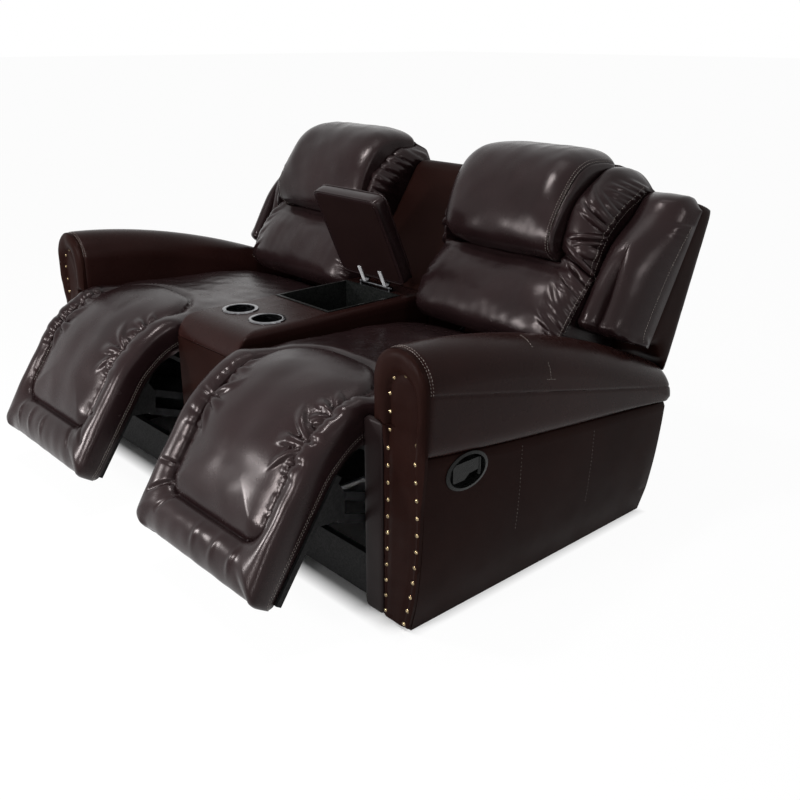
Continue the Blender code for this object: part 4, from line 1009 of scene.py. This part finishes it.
def arm_sides():
    """The arms' sides, each with an oval pocket cut for the release handle."""
    middle = np.arange(0.2, 0.6, 0.075)
    shares = (0, 0.006, 0.03, 0.08, 0.14, *middle, 0.65, 0.73, 0.8, 0.86, 0.92, 0.97, 0.992, 1)
    piece = tube("arm_side", [side_ring(share) for share in shares], shaded_side_hide)
    turn = np.linspace(0, 2 * math.pi, 48, endpoint=False)
    hole_y = front_y + pocket_depth + pocket_half_length * np.cos(turn)
    hole_z = pocket_height + pocket_half_height * np.sin(turn)
    tool = tube("oval", [xyz(x, hole_y, hole_z) for x in (pocket_floor, half_width + 0.025)], shaded_side_hide)
    cut = piece.modifiers.new("pocket", "BOOLEAN")
    cut.operation, cut.object, cut.solver = "DIFFERENCE", tool, "EXACT"
    bpy.context.view_layer.update()
    cut_mesh = bpy.data.meshes.new_from_object(piece.evaluated_get(bpy.context.evaluated_depsgraph_get()))
    piece.modifiers.clear()
    piece.data = cut_mesh
    piece.data.set_sharp_from_angle(angle=math.radians(40))
    bpy.data.objects.remove(tool)
    place_both(piece, "base", "arm_body_")


# the nailed front panel: a puffy rim round a sunken face
panel_foot, panel_shoulder = 0.008, 0.5203
post_side = 0.7838
rim_z, rim_radius = arm_height - roll_radius, roll_radius - 0.002
nail_line = dense([
    (0.7895, 0.024), (0.7925, 0.12), (0.7965, 0.215), (0.7985, 0.3), (0.799, 0.4), (0.799, 0.5),
    (0.7985, 0.57),
    (0.801, 0.612), (0.818, 0.639), (0.845, 0.648), (0.872, 0.638), (0.892, 0.611), (0.8985, 0.568),
    (0.8925, 0.52), (0.889, 0.475), (0.8915, 0.43), (0.896, 0.37), (0.8985, 0.31), (0.896, 0.24),
    (0.889, 0.17), (0.879, 0.11), (0.868, 0.062), (0.855, 0.018),
])


def nearest(points, line):
    """How far each point is from a line of points."""
    gaps = []
    for part in np.array_split(line, 8):
        away = np.hypot(points[..., 0, None] - part[:, 0], points[..., 1, None] - part[:, 1])
        gaps.append(away.min(-1))
    return np.min(gaps, axis=0)


def within(points, line):
    """Whether each point is inside a closed outline."""
    x, z = points[..., 0], points[..., 1]
    inside = np.zeros(x.shape, bool)
    for (x0, z0), (x1, z1) in zip(line, np.roll(line, -1, 0)):
        crosses = (z0 > z) != (z1 > z)
        inside ^= crosses & (x < x0 + (z - z0) * (x1 - x0) / (z1 - z0 + 1e-12))
    return inside


def sunk(upper):
    """How far behind the arm's front the panel's face lies: farther in its upper part."""
    return mix(0.0012, 0.0085, upper)


def upper_part(z):
    return smooth((z - 0.44) / 0.09)


def panel_outline():
    """The panel's left and right sides, from its foot to its crown."""
    left = [(post_side, panel_foot), (post_side, panel_shoulder - 0.0001), (0.7535, panel_shoulder)]
    left_crown = arc(roll_x, rim_z, rim_radius, np.linspace(math.pi, math.pi / 2, 20))
    right = dense([
        (0.8685, panel_foot), (0.888, 0.09), (0.8995, 0.18), (0.9055, 0.27), (0.9085, 0.34), (0.9175, 0.44),
        (0.9228, 0.55),
    ])
    right_crown = arc(roll_x, rim_z, rim_radius, np.linspace(0, math.pi / 2, 20))
    return np.vstack([left, left_crown]), np.vstack([right, right_crown])


def panel_depth(xx, zz, left, right):
    """How far behind the arm's front each place of the panel lies."""
    points = np.stack([xx, zz], 2)
    border = np.vstack([resample(left, 240), resample(right, 240)[::-1]])
    nails = resample(nail_line, 300)
    out_gap = np.minimum(nearest(points, border), zz - panel_foot + 0.002)
    in_gap = nearest(points, nails)
    inner_part = within(points, nails) | ((zz < 0.02) & (xx > 0.79) & (xx < 0.853))
    upper = upper_part(zz)
    share = np.clip(out_gap / np.maximum(out_gap + in_gap, 1e-6), 0, 1)
    rim_face = mix(mix(0.003, 0.0062, upper), sunk(upper), smooth(share))
    rim_face -= mix(0.0022, 0.015, upper) * half_round(share)
    return np.where(inner_part, sunk(upper) - 0.0022 * smooth(in_gap / 0.02), rim_face)


def arm_fronts():
    left, right = panel_outline()
    tip = rim_z + rim_radius
    z = uneven([
        (panel_foot, 0.0015), (0.03, 0.008), (0.5, 0.008), (panel_shoulder - 0.0005, 0.003),
        (panel_shoulder + 0.02, 0.005), (tip - 0.03, 0.005), (tip - 0.0004, 0.0006),
    ])
    c = uneven([(0, 0.008), (0.1, 0.02), (0.3, 0.03), (0.7, 0.03), (0.9, 0.02), (1, 0.008)])
    crown = roll_x - np.sqrt(np.maximum(rim_radius**2 - np.maximum(z - rim_z, 0) ** 2, 0))
    left_x = np.where(z < panel_shoulder, post_side, crown)
    fine = right[np.argsort(right[:, 1])]
    right_x = np.maximum(np.interp(z, fine[:, 1], fine[:, 0]), left_x + 0.001)
    cc, zz = np.meshgrid(c, z)
    xx = mix(left_x[:, None], right_x[:, None], cc)
    depth = panel_depth(xx, zz, left, right) + uneasy(41, xx, zz, 0.06) * 0.0005
    behind = [xyz(x, front_y + 0.0118, z) for x in (left_x, right_x)]
    piece = pad("arm_front", xyz(xx, front_y + depth, zz), *behind, skin=shaded_side_hide)
    place_both(piece, "base", "arm_front_panel_")


def arm_nails():
    """Round nail heads along the nail line, with their backs against the panel."""
    nails, radius, rise, sink = 31, 0.0058, 0.0036, 0.0004
    count, levels = 12, 4
    facing = Vector((0, -1, 0))
    turn = np.array(facing.to_track_quat("Z", "Y").to_matrix())
    tilt = (math.pi / 2 * np.arange(levels) / levels)[:, None]
    angle = 2 * math.pi * np.arange(count)[None] / count
    reach = radius * np.cos(tilt)
    head = xyz(reach * np.cos(angle), reach * np.sin(angle), rise * np.sin(tilt)).reshape(-1, 3)
    head = np.vstack([head, (0, 0, rise)]) @ turn.T
    top, ring = len(head) - 1, (levels - 1) * count
    shape = quads(levels, count, round_cols=True)
    shape += [(ring + step, ring + (step + 1) % count, top) for step in range(count)]
    shape.append(list(range(count))[::-1])
    verts, faces = [], []
    for x, z in resample(nail_line, nails):
        faces += [tuple(corner + len(verts) for corner in face) for face in shape]
        verts += list(head + (x, front_y + sunk(upper_part(z)) - sink, z))
    place_both(place_mesh("arm_nails", verts, faces, [brass], 50), "base")


def squarish(half_x, half_y, power, count):
    """The x and y of points round a rectangle with rounded corners."""
    turn = np.linspace(0, 2 * math.pi, count, endpoint=False)
    pairs = ((np.cos(turn), half_x), (np.sin(turn), half_y))
    return [np.sign(part) * np.abs(part) ** power * half for part, half in pairs]


def arm_strips():
    """The narrow padded strips beside the footrests."""
    foot, top = 0.008, 0.52
    rings = []
    for z in uneven([(foot, 0.003), (0.03, 0.03), (0.49, 0.03), (top, 0.003)]):
        pull = 0.01 * fall(1 - min(z - foot, top - z) / 0.014)
        x, y = squarish(0.03225 - pull, 0.008 - pull * 0.4, 0.35, 40)
        rings.append(xyz(0.75125 + x, front_y + 0.004 + y, z))
    # The strips take the darker leather: painted shade in the recess beside the footrests.
    place_both(tube("arm_strip", rings, shade_hide, 70), "base", "arm_post_")


def on_roll(depth, degrees, reach):
    """Places on the roll by their depth and turn from level, and the ways that they face."""
    turn = np.radians(degrees)
    x, z = roll_x + reach * np.cos(turn), arm_top(depth) - roll_radius + reach * np.sin(turn)
    return xyz(x, depth + front_y, z), xyz(np.cos(turn), 0, np.sin(turn))


def arm_threads():
    """The double row on the roll's front rim, the short seams on its face and the side's two seams."""
    stitches = Seams()
    for depth in (0.015, 0.0205):
        stitches.add(*on_roll(depth, np.linspace(170, -4, 120), roll_radius - roll_end(depth)))
    short_seams = (((0.408, 0.416), (24, -5)), ((0.398, 0.434), (-5, -5)), ((0.381, 0.375), (82, 48)))
    for depths, degrees in short_seams:
        line, ways = on_roll(np.linspace(*depths, 40), np.linspace(*degrees, 40), roll_radius + 0.0002)
        stitches.add(line, ways, spacing=0.0072, length=0.0062, width=0.0015, height=0.0008)
    for depth, high, low in ((0.342, 0.405, 0.165), (0.635, 0.36, 0.14)):
        z = np.linspace(high, low, 60)
        line = xyz(table(side_x, z) + 0.0002, depth + front_y, z)
        stitches.add(line, xyz(1, 0, 0 * z), spacing=0.0105, length=0.005, width=0.001, height=0.0005)
    place_both(stitches.piece("arm_stitch"), "base")


# the console
lid_axis = np.array([0, 0.657 + front_y, 0.577])
lid_length, lid_half = 0.3, 0.151
lid_rear, lid_low = lid_axis[1] - 0.028, lid_axis[2] - 0.001
lid_turn = np.array(Matrix.Rotation(-math.radians(66), 3, "X"))


def opened(points):
    """Points of the shut lid, where the open lid has them."""
    return (np.asarray(points) - lid_axis) @ lid_turn.T + lid_axis


def lid_ring(up, inset):
    """A ring round the lid, this far up from its lower face and in from its side."""
    x, y = squarish(lid_half - inset, lid_length / 2 - inset, 0.13, 128)
    return opened(xyz(x, lid_rear - lid_length / 2 + y, lid_low + up))


def cord_round(name, path, radius):
    """A closed welt along a loop of points."""
    count = 8
    along = np.roll(path, -1, 0) - np.roll(path, 1, 0)
    along /= np.maximum(np.linalg.norm(along, axis=1, keepdims=True), 1e-9)
    first_way = np.cross(along, path.mean(0) - path)
    first_way /= np.maximum(np.linalg.norm(first_way, axis=1, keepdims=True), 1e-9)
    second_way = np.cross(along, first_way)
    lines = []
    for angle in 2 * math.pi * np.arange(count) / count:
        lines.append(path + radius * (math.cos(angle) * first_way + math.sin(angle) * second_way))
    verts = np.stack(lines, 1).reshape(-1, 3)
    return place_mesh(name, verts, quads(len(path), count, True, True), [hide], 60)


def lid():
    """The padded lid, open: a crowned box with a rounded edge, its lining, straps and welts."""
    profile = [
        (0.0, 0.006), (0.0015, 0.002), (0.006, 0.0), (0.02, -0.001), (0.036, 0.0), (0.042, 0.002),
        (0.049, 0.007),
        (0.057, 0.016), (0.064, 0.029), (0.07, 0.046), (0.0745, 0.068), (0.077, 0.092), (0.078, 0.118),
    ]
    body = tube("lid_pad", [lid_ring(*step) for step in profile], hide, 60)
    under = tube("lid_under", [lid_ring(up, 0.012) for up in (-0.0012, -0.0002)], lid_hide, 30)
    corners = ((-0.004, 0.02), (-0.004, -0.036), (-0.0014, -0.036), (-0.0014, 0.02))
    straps = []
    for name, middle in (("lid_strap_left", -0.05), ("lid_strap_right", 0.05)):
        rings = []
        for x in (middle - 0.008, middle + 0.008):
            rings.append(opened([(x, lid_rear + along, lid_low + up) for up, along in corners]))
        straps.append(tube(name, rings, bright, 30))
    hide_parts("console_lid")
    welt_radius = 0.0022
    welts = [
        cord_round("lid_welt_1", lid_ring(0.0405, 0.0004), welt_radius),
        cord_round("lid_welt_2", lid_ring(welt_radius, 0.0008), welt_radius),
    ]
    for slot, pieces in (("leather", welts), ("chrome", straps), ("leather", [body, under])):
        for piece in pieces:
            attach(piece, "lid")


def softened(node, name, skin, carrier, voxel, passes, nose=None):
    """A padded copy of a covered part, with its edges rounded."""
    bpy.context.view_layer.update()
    mesh = nodes[node].data.copy()
    mesh.transform(nodes[node].matrix_world)
    draft = add_object(name + "_draft", mesh)
    remesh = draft.modifiers.new("remesh", "REMESH")
    remesh.mode, remesh.voxel_size = "VOXEL", voxel
    ease = draft.modifiers.new("ease", "SMOOTH")
    ease.factor, ease.iterations = 0.5, passes
    bpy.context.view_layer.update()
    made = bpy.data.meshes.new_from_object(draft.evaluated_get(bpy.context.evaluated_depsgraph_get()))
    bpy.data.objects.remove(draft)
    made.name = name
    if nose:
        places = np.array([v.co for v in made.vertices])
        places[:, 2] -= nose(places)
        made.vertices.foreach_set("co", places.ravel())
        made.update()
    made.materials.clear()
    made.materials.append(skin)
    made.shade_smooth()
    piece = add_object(name, made)
    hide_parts(node)
    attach(piece, carrier)


def deck_fall(places):
    """How far the deck's front nose and its long sides are rounded down."""
    low, high = (np.array(corner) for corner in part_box("console_deck"))
    nose_length, side_width, side_fall = 0.085, 0.026, 0.015
    share = np.clip((places[:, 2] - low[2]) / (high[2] - low[2]), 0, 1)
    nose = 0.8 * (high[2] - low[2]) * fall((low[1] + nose_length - places[:, 1]) / nose_length)
    beside = fall((np.abs(places[:, 0]) - high[0] + side_width) / side_width)
    return share * np.maximum(nose, side_fall * beside)


# the finishes of the carried-over nodes
def finish_nodes():
    """Give every node that still shows its material: black steel, unless its name says otherwise."""
    finishes = {
        "console_case": shaded_side_hide, "rear_panel": shaded_side_hide, "footrest_board": board, "front_rail": board,
        # The seat deck and the rear rail take the black board: painted shade under the seat.
        "rear_rail": board, "seat_deck": board, "cup_holder": dimmed_cup_steel, "lid_hinge": dimmed_cup_steel,
        "storage_bin": plastic, "handle_bezel": plastic, "release_handle": plastic,
    }
    for name, node in nodes.items():
        if node.hide_render:
            continue
        node.data.materials.clear()
        node.data.materials.append(next((finishes[key] for key in finishes if name.startswith(key)), steel))


# stage and light
def seen_in(tree, *kinds):
    """1 for rays of these kinds and 0 for others."""
    rays = add_node(tree, "LightPath").outputs
    seen = rays[kinds[0]]
    for kind in kinds[1:]:
        seen = calc(tree, "MAXIMUM", seen, rays[kind])
    return seen


def white_floor():
    """A pale floor that the eye and reflections see as white, apart from the ground under the loveseat."""
    size = 60
    mesh = bpy.data.meshes.new("floor")
    corners = [(-size, -size, 0), (size, -size, 0), (size, size, 0), (-size, size, 0)]
    mesh.from_pydata(corners, [], [(0, 1, 2, 3)])
    skin, tree, shader = new_material("pale_floor")
    colour = ramp(tree, noise(tree, 3.0), 0.86, 0.9)
    feed(shader, {"Base Color": colour, "Roughness": 0.8, "Specular IOR Level": 0.1})
    place = add_node(tree, "SeparateXYZ", {0: coords(tree)}).outputs
    beyond = []
    for axis, middle, half in (("X", 0.0, 0.84), ("Y", 0.03, 0.44)):
        away = calc(tree, "ABSOLUTE", calc(tree, "SUBTRACT", place[axis], middle))
        beyond.append(calc(tree, "SUBTRACT", away, half))
    farther = calc(tree, "MAXIMUM", *beyond)
    open_floor = add_node(tree, "MapRange", {"Value": farther, "From Max": 0.06, "To Max": 0.96}).outputs[0]
    share = calc(tree, "MULTIPLY", seen_in(tree, "Is Camera Ray", "Is Glossy Ray"), open_floor)
    glow = add_node(tree, "Emission")
    blended = add_node(tree, "MixShader", {0: share, 1: shader.outputs[0], 2: glow.outputs[0]})
    feed(tree.nodes["Material Output"], {0: blended.outputs[0]})
    mesh.materials.append(skin)
    add_object("floor", mesh)


def white_world():
    """White all round, which lights the object less than it shows."""
    world = bpy.data.worlds.new("studio")
    bpy.context.scene.world = world
    world.use_nodes = True
    tree = world.node_tree
    seen = seen_in(tree, "Is Camera Ray", "Is Transmission Ray", "Is Glossy Ray")
    strength = add_node(tree, "MapRange", {"Value": seen, "To Min": 0.32, "To Max": 1.0})
    feed(tree.nodes["Background"], {"Color": (1, 1, 1, 1), "Strength": strength.outputs[0]})


def lamp(name, place, aim, power, width, height):
    """A soft lamp at a place, turned to a point: its power in watts and its width and height."""
    light = bpy.data.lights.new(name, "AREA")
    light.shape = "RECTANGLE"
    light.energy, light.size, light.size_y = power, width, height
    holder = add_object(name, light)
    holder.location = place
    holder.rotation_euler = (Vector(aim) - Vector(place)).to_track_quat("-Z", "Y").to_euler()


def lamps():
    lamp("key", (0.55, -3.0, 1.5), (0.6, -0.5, 0.35), 66, 0.46, 0.5)
    lamp("low_right", (2.3, -2.5, 0.95), (0.88, -0.4, 0.5), 9, 0.24, 0.24)
    lamp("low_left", (-0.95, -2.45, 1.05), (0.45, 0.2, 0.62), 40, 0.21, 0.21)
    lamp("side", (3.1, 0.2, 2.1), (0.85, -0.3, 0.6), 13, 0.36, 0.3)
    lamp("front_high", (0.05, -0.95, 3.2), (0.6, 0.3, 0.7), 44, 0.32, 0.32)
    lamp("top", (0.2, 0.3, 3.3), (0.2, 0, 0.4), 6, 0.9, 0.9)


add_camera()
chaises()
cushions()
pillows()
wings()
arm_rolls()
arm_sides()
arm_fronts()
arm_nails()
arm_strips()
arm_threads()
lid()
softened("console_deck", "console_top", lit_roll_hide, "base", voxel=0.004, passes=16, nose=deck_fall)
softened("console_back", "console_back_pad", shaded_side_hide, "base", voxel=0.006, passes=14)
for label in ("right", "left"):
    softened(
        "back_shell_" + label, "back_cover_" + label, shaded_side_hide, "back_" + label, voxel=0.006, passes=70
    )
finish_nodes()
white_floor()
white_world()
lamps()

bpy.context.scene.view_settings.view_transform = "Standard"
